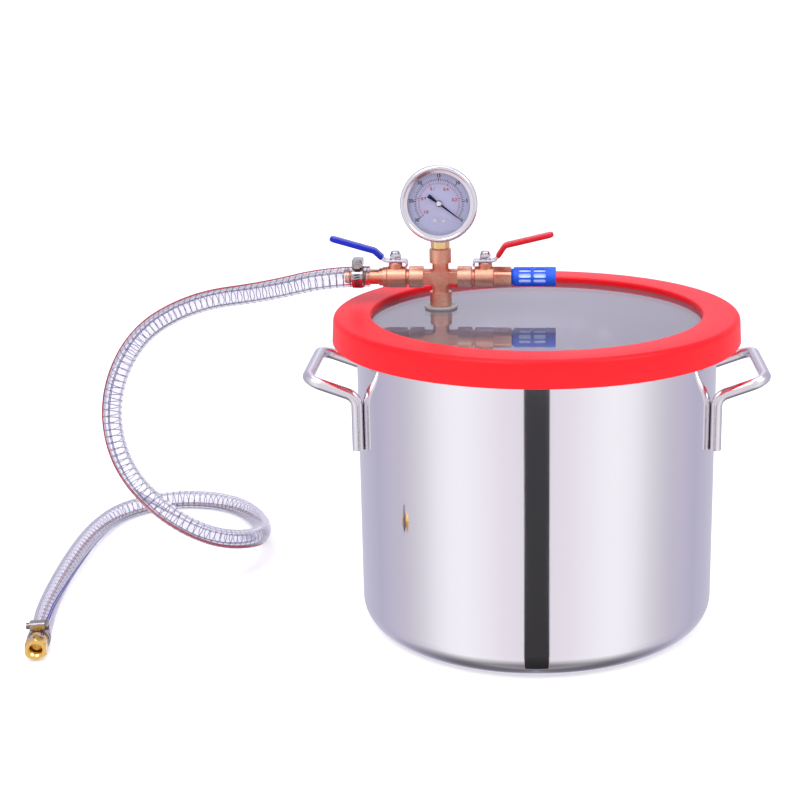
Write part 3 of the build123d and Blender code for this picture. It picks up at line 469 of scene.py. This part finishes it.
def finish_of(slot, colour, other, grain=(300, 300, 300), rough=(0.3, 0.4), bump=0.1, depth=0.00005, blotch=60.0,
              amount=0.6, worn=None, wear=0.0, pits=None, pit_colour=None, **plain):
    made = bpy.data.materials.new(slot)
    made.use_nodes = True
    tree = made.node_tree
    shader = tree.nodes["Principled BSDF"]
    here = tree.nodes.new("ShaderNodeTexCoord").outputs["Object"]
    tint = tree.nodes.new("ShaderNodeGroup")
    tint.node_tree = BLOTCH
    tree.links.new(here, tint.inputs["Vector"])
    tint.inputs["Color"].default_value, tint.inputs["Other"].default_value = (*colour, 1.0), (*other, 1.0)
    tint.inputs["Scale"].default_value, tint.inputs["Amount"].default_value = blotch, amount
    last = tint.outputs["Color"]
    if pits:
        dots = tree.nodes.new("ShaderNodeGroup")
        dots.node_tree = SPECK
        tree.links.new(here, dots.inputs["Vector"])
        dots.inputs["Scale"].default_value, dots.inputs["Least"].default_value = pits
        spotted = tree.nodes.new("ShaderNodeMix")
        spotted.data_type = "RGBA"
        tree.links.new(dots.outputs["Mask"], spotted.inputs["Factor"])
        tree.links.new(last, spotted.inputs["A"])
        spotted.inputs["B"].default_value = (*pit_colour, 1.0)
        last = spotted.outputs["Result"]
    if wear:
        edge = tree.nodes.new("ShaderNodeNewGeometry").outputs["Pointiness"]
        mask = tree.nodes.new("ShaderNodeGroup")
        mask.node_tree = WEAR
        tree.links.new(here, mask.inputs["Vector"])
        tree.links.new(edge, mask.inputs["Edge"])
        mask.inputs["Amount"].default_value = wear
        lighter = tree.nodes.new("ShaderNodeMix")
        lighter.data_type = "RGBA"
        tree.links.new(mask.outputs["Mask"], lighter.inputs["Factor"])
        tree.links.new(last, lighter.inputs["A"])
        lighter.inputs["B"].default_value = (*worn, 1.0)
        last = lighter.outputs["Result"]
    tree.links.new(last, shader.inputs["Base Color"])
    lines_node = tree.nodes.new("ShaderNodeGroup")
    lines_node.node_tree = GRAIN
    tree.links.new(here, lines_node.inputs["Vector"])
    lines_node.inputs["Stretch"].default_value = grain
    lines_node.inputs["Low"].default_value, lines_node.inputs["High"].default_value = rough
    tree.links.new(lines_node.outputs["Roughness"], shader.inputs["Roughness"])
    relief = tree.nodes.new("ShaderNodeBump")
    relief.inputs["Strength"].default_value, relief.inputs["Distance"].default_value = bump, depth
    tree.links.new(lines_node.outputs["Height"], relief.inputs["Height"])
    tree.links.new(relief.outputs["Normal"], shader.inputs["Normal"])
    for label, value in plain.items():
        shader.inputs[label.replace("_", " ")].default_value = value
    finishes[slot] = made

print("finish builder ready")

# %% [markdown]
# ## Steel
# The pot is polished sheet steel with faint upright marks, so its grain is fine round the pot and very long upwards.
# The handles are bent polished rod, the lever plates are zinc plated, and the clamps are thin bright band.

# %% Steel finishes
finish_of("pot_steel", (0.88, 0.865, 0.895), (0.84, 0.82, 0.865), grain=(900, 900, 7), rough=(0.04, 0.08), bump=0.05,
          depth=0.00002, blotch=9.0, amount=0.5, Metallic=1.0)
finish_of("handle_steel", (0.84, 0.82, 0.85), (0.76, 0.74, 0.78), grain=(500, 60, 500), rough=(0.17, 0.27), bump=0.06,
          blotch=40.0, Metallic=1.0)
finish_of("lever_steel", (0.78, 0.78, 0.86), (0.68, 0.69, 0.78), grain=(250, 900, 900), rough=(0.2, 0.34), bump=0.12,
          worn=(0.9, 0.9, 0.95), wear=0.8, Metallic=1.0)
finish_of("clamp_steel", (0.3, 0.26, 0.25), (0.15, 0.125, 0.115), grain=(1200, 200, 1200), rough=(0.1, 0.2), bump=0.1,
          worn=(0.92, 0.9, 0.92), wear=0.6, Metallic=1.0)
finish_of("case_steel", (0.82, 0.81, 0.84), (0.74, 0.73, 0.77), grain=(900, 60, 900), rough=(0.12, 0.22), bump=0.06,
          Metallic=1.0)
finish_of("chrome", (0.9, 0.9, 0.92), (0.84, 0.84, 0.87), grain=(700, 700, 700), rough=(0.04, 0.1), bump=0.03,
          Metallic=1.0)
finish_of("bezel_steel", (0.83, 0.82, 0.85), (0.74, 0.73, 0.77), grain=(700, 60, 700), rough=(0.14, 0.22), bump=0.04,
          worn=(0.95, 0.95, 0.97), wear=0.4, Metallic=1.0)
finish_of("nut_steel", (0.62, 0.61, 0.66), (0.5, 0.49, 0.54), grain=(900, 900, 900), rough=(0.2, 0.32), bump=0.1,
          worn=(0.9, 0.9, 0.94), wear=0.8, Metallic=1.0)
print("steel finishes", len(finishes))

# %% [markdown]
# ## Brass
# The cross, the valve bodies and the barb get forged brass with a warm, slightly sandy skin. The gauge's socket
# is turned from yellow brass and the end fitting from a deeper gold brass, both with finer lines and more shine.

# %% Brass finishes
finish_of("brass", (0.9, 0.44, 0.31), (0.76, 0.32, 0.21), grain=(1500, 1500, 1500), rough=(0.26, 0.42), bump=0.35,
          depth=0.00008, blotch=70.0, amount=0.9, worn=(0.95, 0.68, 0.5), wear=1.0, pits=(1400.0, 0.56),
          pit_colour=(0.5, 0.2, 0.1), Metallic=1.0)
finish_of("yellow_brass", (1.0, 0.78, 0.4), (0.94, 0.66, 0.28), grain=(900, 900, 900), rough=(0.14, 0.26), bump=0.12,
          blotch=90.0, amount=0.8, worn=(1.0, 0.9, 0.62), wear=0.8, Metallic=1.0)
finish_of("gold_brass", (0.98, 0.64, 0.17), (0.88, 0.52, 0.1), grain=(900, 900, 900), rough=(0.12, 0.24), bump=0.12,
          blotch=90.0, amount=0.8, worn=(1.0, 0.84, 0.42), wear=0.8, Metallic=1.0)
print("brass finishes", len(finishes))

# %% [markdown]
# ## Rubber, vinyl and plastic
# Silicone rubber is satin with a faint haze, the lever sleeves are dipped vinyl with a wet shine, and the
# filter is moulded plastic with a very fine mould grain. The filter's felt glows faintly pale blue: painted light
# that lifts it out of the shade of the cage.

# %% Rubber, vinyl and plastic finishes
finish_of("red_rubber", (0.9, 0.007, 0.014), (0.84, 0.005, 0.01), grain=(500, 500, 500), rough=(0.34, 0.44), bump=0.08,
          blotch=25.0, worn=(0.95, 0.04, 0.06), wear=0.35, pits=(900.0, 0.66), pit_colour=(0.7, 0.004, 0.008),
          Specular_IOR_Level=0.22)
finish_of("clear_rubber", (0.96, 0.92, 0.95), (0.9, 0.86, 0.9), grain=(500, 500, 500), rough=(0.3, 0.45), bump=0.05,
          Transmission_Weight=0.6, IOR=1.41)
finish_of("red_vinyl", (0.68, 0.008, 0.02), (0.56, 0.006, 0.015), grain=(220, 220, 220), rough=(0.22, 0.32), bump=0.12,
          depth=0.0001, blotch=50.0, worn=(0.9, 0.06, 0.08), wear=0.3, Specular_IOR_Level=0.22, Coat_Weight=0.05,
          Coat_Roughness=0.1)
finish_of("blue_vinyl", (0.003, 0.014, 0.44), (0.002, 0.01, 0.34), grain=(220, 220, 220), rough=(0.26, 0.36),
          bump=0.12, depth=0.0001, blotch=50.0, worn=(0.03, 0.06, 0.75), wear=0.3, Specular_IOR_Level=0.22,
          Coat_Weight=0.05, Coat_Roughness=0.1)
finish_of("blue_plastic", (0.008, 0.12, 0.84), (0.005, 0.09, 0.72), grain=(1400, 1400, 1400), rough=(0.3, 0.42),
          bump=0.1, worn=(0.1, 0.2, 0.9), wear=0.4, Specular_IOR_Level=0.5)
finish_of("white_plastic", (0.82, 0.82, 0.84), (0.74, 0.74, 0.78), grain=(900, 900, 900), rough=(0.35, 0.5), bump=0.08)
# The felt's emission is painted light: a faint pale blue glow that brightens it inside the cage's shade.
finish_of("white_felt", (0.8, 0.94, 1.0), (0.7, 0.88, 1.0), grain=(1600, 1600, 1600), rough=(0.8, 0.95), bump=0.6,
          depth=0.0002, Sheen_Weight=0.3, Emission_Color=(0.62, 0.82, 1.0, 1.0), Emission_Strength=0.25)
finish_of("dial_paint", (0.475, 0.485, 0.69), (0.44, 0.45, 0.65), grain=(2500, 2500, 2500), rough=(0.4, 0.5), bump=0.03,
          blotch=45.0)
finish_of("black_paint", (0.008, 0.01, 0.035), (0.014, 0.015, 0.045), grain=(1500, 1500, 1500), rough=(0.4, 0.55),
          bump=0.05, Specular_IOR_Level=0.12)
print("soft and painted finishes", len(finishes))

# %% [markdown]
# ## Glass and clear hose
# The gauge's lens is clear glass and the lid mostly so, both with faint smears in the roughness. A share of the
# lid is an opaque pale lavender-grey: a painted reflection that stands for the studio mirrored in the glass and the
# lit steel seen through it. The hose is clear plastic with a lavender cast, so its colour is a little below white and
# each wall that light crosses deepens it. The prints, the dark cloth and the floor's paper are made here too.

# %% Clear finishes
# The lid's lavender-grey base colour, with part of the glass left opaque, is a painted reflection of the studio and of
# the lit steel behind the glass.
finish_of("lid_glass", (0.62, 0.595, 0.72), (0.58, 0.56, 0.69), grain=(18, 30, 18), rough=(0.0, 0.03), bump=0.01,
          blotch=12.0, Transmission_Weight=0.87, IOR=1.52)
finish_of("lens_glass", (0.98, 0.98, 0.995), (0.96, 0.96, 0.985), grain=(60, 60, 90), rough=(0.0, 0.02), bump=0.01,
          Transmission_Weight=1.0, IOR=1.12)
finish_of("clear_pvc", (0.89, 0.88, 0.95), (0.86, 0.85, 0.925), grain=(260, 260, 260), rough=(0.02, 0.08), bump=0.05,
          depth=0.0001, blotch=80.0, Transmission_Weight=0.96, IOR=1.28)
finish_of("spring_wire", (0.1, 0.095, 0.12), (0.06, 0.06, 0.075), grain=(900, 900, 900), rough=(0.25, 0.4), bump=0.1,
          Metallic=0.5)
for print_name, print_colour, print_other in (("red_print", (0.4, 0.004, 0.012), (0.34, 0.004, 0.01)),
                                              ("blue_print", (0.006, 0.01, 0.32), (0.005, 0.008, 0.26))):
    finish_of(print_name, print_colour, print_other, grain=(1500, 1500, 1500), rough=(0.4, 0.5), bump=0.05)
finish_of("dark_cloth", (0.003, 0.003, 0.003), (0.006, 0.006, 0.007), grain=(200, 900, 200), rough=(0.85, 0.95),
          bump=0.1, blotch=20.0)
finish_of("floor_paper", (0.93, 0.93, 0.93), (0.91, 0.91, 0.915), grain=(90, 90, 90), rough=(0.85, 0.95), bump=0.02,
          blotch=3.0, Emission_Color=(1.0, 1.0, 1.0, 1.0), Emission_Strength=0.36)
print("all finishes", len(finishes))

# %% [markdown]
# ## Finishes on the parts
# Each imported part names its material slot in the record, and gets the finish of that name. A few parts share a slot
# with parts of another metal, so BY_NODE gives those their own finish. Only slots are changed, never a mesh.

# %% Put the finishes on the parts
def wear_finish(piece, finish):
    piece.data.materials.clear()
    piece.data.materials.append(finishes[finish])

BY_NODE = {"hose_barb": "brass", "end_fitting": "gold_brass", "dial_screws": "clamp_steel",
           "inlet_lever_washer": "nut_steel", "vent_lever_washer": "nut_steel"}
for part in frame["record"]["subparts"]:
    node = frame["nodes"][part["node"]]
    if not node.material_slots:
        node.data.materials.append(None)
    for place in node.material_slots:
        place.material = finishes[BY_NODE.get(part["node"], part["material_slot"])]
for piece, finish in ((hose, "clear_pvc"), (spring, "spring_wire"), (red_lines, "red_print"),
                      (blue_lines, "blue_print"), (floor, "floor_paper"), (cloth_strip, "dark_cloth")):
    wear_finish(piece, finish)

# %% [markdown]
# ## Turned and bent pieces
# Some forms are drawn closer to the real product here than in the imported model: the ring, the handles, the gauge's
# bezel and case, the levers with their sleeves, and the lever nuts. A turned piece starts as one point, extruded along
# its section and spun once round. A bent strip starts the same way and is extruded sideways. Each of them stands for
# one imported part.

# %% Tools for turned and bent pieces
def rounded(points, radii, count=6):
    points = [Vector(p) for p in points]
    radii = radii if isinstance(radii, (list, tuple)) else [radii] * (len(points) - 2)
    out = [points[0]]
    for before, corner, after, radius in zip(points, points[1:], points[2:], radii):
        one, two = (before - corner).normalized(), (after - corner).normalized()
        half = one.angle(two) / 2
        centre = corner + (one + two).normalized() * (radius / math.sin(half))
        start, end = corner + one * (radius / math.tan(half)), corner + two * (radius / math.tan(half))
        for k in range(count + 1):
            spot = (start - centre).lerp(end - centre, k / count).normalized() * radius + centre
            out.append(spot)
    return out + [points[-1]]

def chain(name, spots):
    bpy.ops.object.select_all(action="DESELECT")
    bpy.ops.mesh.primitive_plane_add(size=1.0 * MM)
    piece = bpy.context.active_object
    piece.name = name
    bpy.ops.object.mode_set(mode="EDIT")
    bpy.ops.mesh.select_all(action="SELECT")
    bpy.ops.mesh.merge(type="CENTER")
    bpy.ops.transform.translate(value=spots[0])
    for before, after in zip(spots, spots[1:]):
        bpy.ops.mesh.extrude_region_move(TRANSFORM_OT_translate={"value": after - before})
    bpy.ops.mesh.select_all(action="SELECT")
    return piece

def close_up(smooth):
    bpy.ops.mesh.select_all(action="SELECT")
    bpy.ops.mesh.remove_doubles(threshold=0.00001)
    bpy.ops.mesh.normals_make_consistent(inside=False)
    bpy.ops.object.mode_set(mode="OBJECT")
    bpy.ops.object.shade_smooth_by_angle(angle=math.radians(smooth))

def turned(name, section, place, steps=96, smooth=40.0):
    piece = chain(name, [Vector((r, 0.0, h)) * MM for r, h in section])
    bpy.ops.mesh.spin(steps=steps, angle=2 * math.pi, center=(0.0, 0.0, 0.0), axis=(0.0, 0.0, 1.0))
    close_up(smooth)
    piece.data.transform(place)
    return settle(piece, name)

def strip(name, path, half, thick, soft, round_tip):
    spots = [Vector((out, -half, up)) * MM for out, up in path]
    piece = chain(name, spots)
    bpy.ops.mesh.extrude_region_move(TRANSFORM_OT_translate={"value": (0.0, 2 * half * MM, 0.0)})
    if round_tip:
        bpy.ops.mesh.select_all(action="DESELECT")
        bpy.ops.object.mode_set(mode="OBJECT")
        for vertex in piece.data.vertices:
            vertex.select = abs(vertex.co.x - spots[-1].x) < 0.01 * MM
        bpy.ops.object.mode_set(mode="EDIT")
        bpy.ops.mesh.bevel(offset=0.8 * half * MM, segments=7, affect="VERTICES")
    bpy.ops.object.mode_set(mode="OBJECT")
    wall = piece.modifiers.new("wall", "SOLIDIFY")
    wall.thickness, wall.offset, wall.use_even_offset = thick * MM, 0.0, True
    edge = piece.modifiers.new("edge", "BEVEL")
    edge.width, edge.segments, edge.limit_method, edge.angle_limit = soft * MM, 3, "ANGLE", math.radians(50)
    bpy.ops.object.modifier_apply(modifier="wall")
    bpy.ops.object.modifier_apply(modifier="edge")
    bpy.ops.object.mode_set(mode="EDIT")
    close_up(40.0)
    return piece

def stands_for(piece, node, body, finish):
    wear_finish(piece, finish)
    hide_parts(node)
    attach(piece, body)

def flat_points(points):
    return [(p.x, p.y) for p in points]

print("turning tools ready")

# %% [markdown]
# ## Ring round the lid
# The section is written as radius and height in millimetres. It goes up the outside, over the rounded top, down to
# the edge of the glass and along the grooves that hold the glass and the pot's rim, and is spun once round.

# %% Ring round the lid
ring_side = flat_points(rounded([(169.6, 246.6), (168.3, 268.0), (137.5, 268.0), (137.5, 263.0)], [4.5, 1.7]))
ring = turned("ring_round_lid", ring_side + [(165.0, 263.0), (165.0, 253.0), (144.4, 253.0), (144.4, 246.0),
              (148.4, 246.0), (148.4, 250.0), (154.0, 250.0), (154.0, 246.0), (169.0, 246.0), (169.6, 246.6)],
              Matrix.Identity(4), 192)
stands_for(ring, "gasket_ring", "chamber", "red_rubber")
print("ring", len(ring.data.polygons), "faces")

# %% [markdown]
# ## Handles
# Each handle is one bent rod: up the pot's wall, out and up to the grip, across, and back down. A curve with rounded
# corners carries a round bevel, and the right handle is the left one with its sign turned.

# %% Handles
LEG_X, SPAN, LOW, HIGH, REACH, RISE, ROD = 146.45, 49.95, 162.0, 207.0, 40.4, 14.4, 9.5
ELBOW, CORNER = 11.0, 13.0
for way, node in ((-1, "handle_left"), (1, "handle_right")):
    grip = way * (LEG_X + REACH)
    corners = [(way * LEG_X, -SPAN, LOW), (way * LEG_X, -SPAN, HIGH), (grip, -SPAN, HIGH + RISE),
               (grip, SPAN, HIGH + RISE), (way * LEG_X, SPAN, HIGH), (way * LEG_X, SPAN, LOW)]
    rod = wire(node + "_rod", [p * MM for p in rounded(corners, [ELBOW, CORNER, CORNER, ELBOW], 8)], ROD * MM, 7)
    stands_for(rod, node, "chamber", "handle_steel")
print("handles bent")

# %% [markdown]
# ## Gauge
# The bezel has a rounded rim and a small lip that holds the lens, and the case behind it is a deep cup with a rounded
# back edge. Both are turned about the gauge's axis, as is the little cap on the pointer's hub.

# %% Bezel and case of the gauge
gauge = middle("gauge_bezel")
front_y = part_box("gauge_bezel")[0].y
gauge_place = Matrix.Translation((gauge.x, front_y, gauge.z)) @ Matrix.Rotation(-math.pi / 2, 4, "X")
bezel_front = flat_points(rounded([(32.2, 6.6), (32.2, 0.0), (29.4, 0.0), (28.8, 0.6), (26.2, 1.1)],
                                  [1.7, 0.4, 0.5], 5))
bezel = turned("bezel_round_dial", bezel_front + [(26.2, 1.78), (30.6, 1.78), (30.6, 6.6), (32.2, 6.6)], gauge_place,
               128)
stands_for(bezel, "gauge_bezel", "chamber", "bezel_steel")
case_outside = flat_points(rounded([(30.6, 3.8), (30.6, 7.4), (29.2, 8.2), (29.2, 23.6), (0.0, 23.6)],
                                   [0.4, 0.4, 3.0], 5))
case = turned("case_of_gauge", case_outside + [(0.0, 22.4), (28.0, 22.4), (28.0, 3.8), (30.6, 3.8)], gauge_place)
stands_for(case, "gauge_case", "chamber", "case_steel")
cap = turned("pointer_cap", [(0.0, 0.0), (0.9, 0.0), (1.0, 0.15), (1.9, 0.1), (2.2, 0.25), (2.2, 0.5), (0.0, 0.5)],
             Matrix.Translation((gauge.x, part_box("gauge_pointer")[0].y - 0.5 * MM, gauge.z))
             @ Matrix.Rotation(-math.pi / 2, 4, "X"), 48)
wear_finish(cap, "nut_steel")
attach(cap, "needle")
print("gauge redrawn")

# %% [markdown]
# ## Levers
# A lever is a flat plate with a short hook at its tail and a knee that lifts it. Its sleeve is a thicker strip with
# rounded edges and tip, over the outer part of the plate. Six sides and a turned dome make the nut. Heights are
# measured from the valve's axis, and the two levers differ only in their bends.

# %% Levers, sleeves and nuts
VALVE_HEIGHT = 289.5 * MM
LEVEL, HOOK_OUT, HOOK_DROP, PLATE_HALF, PLATE = 14.0, 9.6, 4.4, 5.0, 2.0
NUT_HALF, NUT_HIGH, DOME, DOME_LOW, DOME_HIGH, DOME_ROUND = 4.5, 3.6, 3.8, 3.5, 6.2, 1.5
for way, kind, bends, sleeve_finish in ((-1, "inlet", (8.6, 17.6, 8.4, 54.8, 19.0), "blue_vinyl"),
                                        (1, "vent", (8.2, 16.9, 13.0, 57.6, 22.6), "red_vinyl")):
    stem = middle(kind + "_valve_stem")
    place = Matrix.Translation((stem.x, stem.y, VALVE_HEIGHT)) @ Matrix.Rotation(0.0 if way > 0 else math.pi, 4, "Z")
    flat_end, knee_out, knee_up, tip_out, tip_up = bends
    knee, tip = (knee_out, LEVEL + knee_up, 0.0), (tip_out, LEVEL + tip_up, 0.0)
    covered = Vector(knee).lerp(Vector(tip), 0.2)
    line_of_lever = rounded([(-HOOK_OUT, LEVEL - HOOK_DROP, 0.0), (-HOOK_OUT, LEVEL, 0.0), (flat_end, LEVEL, 0.0),
                             knee, covered], [2.0, 5.0, 5.0])
    lever = strip(kind + "_lever_plate", flat_points(line_of_lever), PLATE_HALF, PLATE, 0.35, False)
    foot = Vector((flat_end, LEVEL, 0.0)).lerp(Vector(knee), 0.25)
    sleeve_line = rounded([foot, knee, tip], [5.0])
    sleeve = strip(kind + "_sleeve", flat_points(sleeve_line), PLATE_HALF + 0.9, PLATE + 1.9, 1.2, True)
    nut_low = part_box(kind + "_lever_washer")[1].z
    bpy.ops.object.select_all(action="DESELECT")
    bpy.ops.mesh.primitive_cylinder_add(vertices=6, radius=NUT_HALF * MM / math.cos(math.pi / 6), depth=NUT_HIGH * MM)
    nut = bpy.context.active_object
    edge = nut.modifiers.new("edge", "BEVEL")
    edge.width, edge.segments = 0.4 * MM, 2
    bpy.ops.object.modifier_apply(modifier="edge")
    nut.data.transform(Matrix.Translation((stem.x, stem.y, nut_low + NUT_HIGH / 2 * MM)))
    dome_side = rounded([(DOME, DOME_LOW), (DOME, DOME_HIGH), (0.0, DOME_HIGH)], [DOME_ROUND], 5)
    dome = turned("dome", flat_points(dome_side) + [(0.0, DOME_LOW)],
                  Matrix.Translation((stem.x, stem.y, nut_low)), 48)
    nut = join([nut, dome], kind + "_nut")
    bpy.ops.object.shade_smooth_by_angle(angle=math.radians(35))
    for piece, node, finish in ((lever, "_lever", "lever_steel"), (sleeve, "_lever_sleeve", sleeve_finish)):
        piece.data.transform(place)
        stands_for(settle(piece, piece.name), kind + node, kind + "_handle", finish)
    stands_for(nut, kind + "_lever_nut", kind + "_handle", "nut_steel")
print("levers bent")

# %% [markdown]
# ## Print on the dial
# A vacuum gauge reads from zero at lower right round to full vacuum at lower left. It has an outer black scale with
# plain numbers and an inner red one. A tick is a small plate: a plane, extruded for the ink's thickness
# and set round the dial in copies. Numbers are text turned into mesh and laid on the dial's face.

# %% Ticks and numbers
dial_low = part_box("gauge_dial")[0]
hub = Vector((middle("gauge_bezel").x, dial_low.y, middle("gauge_bezel").z))
ZERO, SWEEP = math.radians(-37.0), math.radians(254.0)
INK = 0.06 * MM
upright = Matrix.Rotation(math.pi / 2, 4, "X")

def on_dial(angle, radius):
    turn = Matrix.Rotation(-angle, 4, "Y")
    return Matrix.Translation(hub - Vector((0.0, INK, 0.0))) @ turn @ Matrix.Translation((radius, 0.0, 0.0))

def ticks(name, count, radius, lengths, width):
    made = []
    for k in range(count + 1):
        length = next(size for every, size in lengths if k % every == 0)
        bpy.ops.object.select_all(action="DESELECT")
        bpy.ops.mesh.primitive_plane_add(size=1.0)
        tick = bpy.context.active_object
        tick.scale = (length, width * (1.6 if length == lengths[0][1] else 1.0), 1.0)
        bpy.ops.object.transform_apply(scale=True)
        bpy.ops.object.mode_set(mode="EDIT")
        bpy.ops.mesh.select_all(action="SELECT")
        bpy.ops.mesh.extrude_region_move(TRANSFORM_OT_translate={"value": (0.0, 0.0, INK)})
        bpy.ops.mesh.select_all(action="SELECT")
        bpy.ops.mesh.normals_make_consistent(inside=False)
        bpy.ops.object.mode_set(mode="OBJECT")
        tick.data.transform(on_dial(ZERO + SWEEP * k / count, radius + length / 2) @ upright)
        made.append(tick)
    return join(made, name)

def numbers(name, words, radius, size):
    made = []
    for k, word in enumerate(words):
        angle = ZERO + SWEEP * word[1]
        bpy.ops.object.select_all(action="DESELECT")
        bpy.ops.object.text_add()
        text = bpy.context.active_object
        text.data.body, text.data.size, text.data.extrude = word[0], size, INK / 2
        text.data.align_x, text.data.align_y = "CENTER", "CENTER"
        text.data.offset = 0.1 * MM
        text = as_mesh(text, name)
        spot = on_dial(angle, radius).translation
        text.data.transform(Matrix.Translation(spot) @ upright)
        made.append(text)
    return join(made, name)

black_ticks = ticks("dial_black_ticks", 60, 18.9 * MM, [(10, 2.9 * MM), (5, 2.4 * MM), (1, 1.9 * MM)], 0.4 * MM)
red_ticks = ticks("dial_red_ticks", 50, 16.0 * MM, [(10, 2.5 * MM), (5, 2.1 * MM), (1, 1.6 * MM)], 0.36 * MM)
black_numbers = numbers("dial_black_numbers", [(str(5 * k), k / 6) for k in range(7)], 23.3 * MM, 3.8 * MM)
red_numbers = numbers("dial_red_numbers", [(str(0.2 * k)[:3], k / 5.08) for k in range(1, 6)], 13.2 * MM, 3.6 * MM)
for piece, finish, slot in ((black_ticks, "black_paint", "black_paint"), (black_numbers, "black_paint", "black_paint"),
                            (red_ticks, "red_print", "red_vinyl"), (red_numbers, "red_print", "red_vinyl")):
    wear_finish(piece, finish)
    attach(piece, "chamber")
print("dial print", len(black_ticks.data.polygons) + len(red_ticks.data.polygons), "tick faces")

# %% [markdown]
# ## Threads
# Pipe threads show as a few sharp ridges where two parts don't quite meet. One ridge is a ring with a four-sided
# section, which is sharp at its crest, and it is copied along the thread at the pitch.

# %% Thread ridges
def thread(name, start, along, radius, count, pitch, finish):
    bpy.ops.object.select_all(action="DESELECT")
    bpy.ops.mesh.primitive_torus_add(major_radius=radius, minor_radius=0.42 * pitch, major_segments=64,
                                     minor_segments=4)
    ridge = bpy.context.active_object
    turn = Vector(along).to_track_quat("Z", "Y").to_matrix().to_4x4()
    ridges = [copy_placed(ridge, Matrix.Translation(Vector(start) + Vector(along) * (pitch * k)) @ turn)
              for k in range(count)]
    bpy.data.objects.remove(ridge)
    made = join(ridges, name)
    bpy.ops.object.shade_smooth_by_angle(angle=math.radians(40))
    wear_finish(made, finish)
    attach(made, "chamber")
    return made

cross_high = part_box("cross_fitting")[1]
axis_x, axis_y = middle("gauge_bezel").x, middle("cross_fitting").y
thread("gauge_socket_thread", (axis_x, axis_y, cross_high.z + 0.5 * MM), (0, 0, 1), 6.7 * MM, 2, 1.0 * MM,
       "yellow_brass")
hexagon_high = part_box("vent_valve_end")[1]
thread("filter_neck_thread", (hexagon_high.x + 0.6 * MM, axis_y, middle("filter_cap").z), (1, 0, 0), 6.7 * MM, 2,
       0.9 * MM, "blue_plastic")
MOUTH = Vector((-407.504, -104.975, 9.95)) * MM
OUT = Vector((0.1644, -0.9862, 0.0164))
thread("end_fitting_thread", MOUTH + OUT * 3.6 * MM, -OUT, 5.62 * MM, 7, 1.1 * MM, "gold_brass")
print("threads cut")

# %% [markdown]
# ## Slots in the clamp bands
# A worm clamp's band has a row of slanted slots that its screw bites into. One slot is a plane, extruded a hair thick,
# with its edges bevelled. The slots are set round the band at even angles.

# %% Slots
SLOT_LONG, SLOT_WIDE, SLOT_THICK = 4.6 * MM, 0.9 * MM, 0.1 * MM

def band_slots(name, centre, along, radius, first, last, count):
    across = Vector(along).cross(Vector((0, 0, 1))).normalized()
    up = across.cross(Vector(along)).normalized()
    made = []
    for k in range(count):
        angle = math.radians(first + (last - first) * k / (count - 1))
        out = across * math.cos(angle) + up * math.sin(angle)
        sideways = out.cross(Vector(along))
        bpy.ops.object.select_all(action="DESELECT")
        bpy.ops.mesh.primitive_plane_add(size=1.0)
        cut = bpy.context.active_object
        cut.scale = (SLOT_LONG, SLOT_WIDE, 1.0)
        bpy.ops.object.transform_apply(scale=True)
        bpy.ops.object.mode_set(mode="EDIT")
        bpy.ops.mesh.select_all(action="SELECT")
        bpy.ops.mesh.extrude_region_move(TRANSFORM_OT_translate={"value": (0.0, 0.0, SLOT_THICK)})
        bpy.ops.mesh.bevel(offset=0.04 * MM, segments=1)
        bpy.ops.mesh.select_all(action="SELECT")
        bpy.ops.mesh.normals_make_consistent(inside=False)
        bpy.ops.object.mode_set(mode="OBJECT")
        slant = Matrix.Rotation(math.radians(12), 4, "Z")
        turn = Matrix((Vector(along), sideways, out)).transposed().to_4x4()
        cut.data.transform(Matrix.Translation(centre + out * radius) @ turn @ slant)
        made.append(cut)
    made = join(made, name)
    wear_finish(made, "black_paint")
    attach(made, "chamber")
    return made

BAND_RADIUS = 9.4 * MM
barb_clamp = Vector((-151.4, 33.0, 289.5)) * MM
end_clamp = Vector((-409.0, -96.0, 9.8)) * MM - OUT * 10.2 * MM
band_slots("barb_clamp_slots", barb_clamp, (-1, 0, 0), BAND_RADIUS, -200, 20, 18)
band_slots("end_clamp_slots", end_clamp, tuple(OUT), BAND_RADIUS, -200, 20, 18)
print("band slots cut")

# %% [markdown]
# ## End
# The dressed model has to stay inside the plain one.

# %% End
print("scene ready")
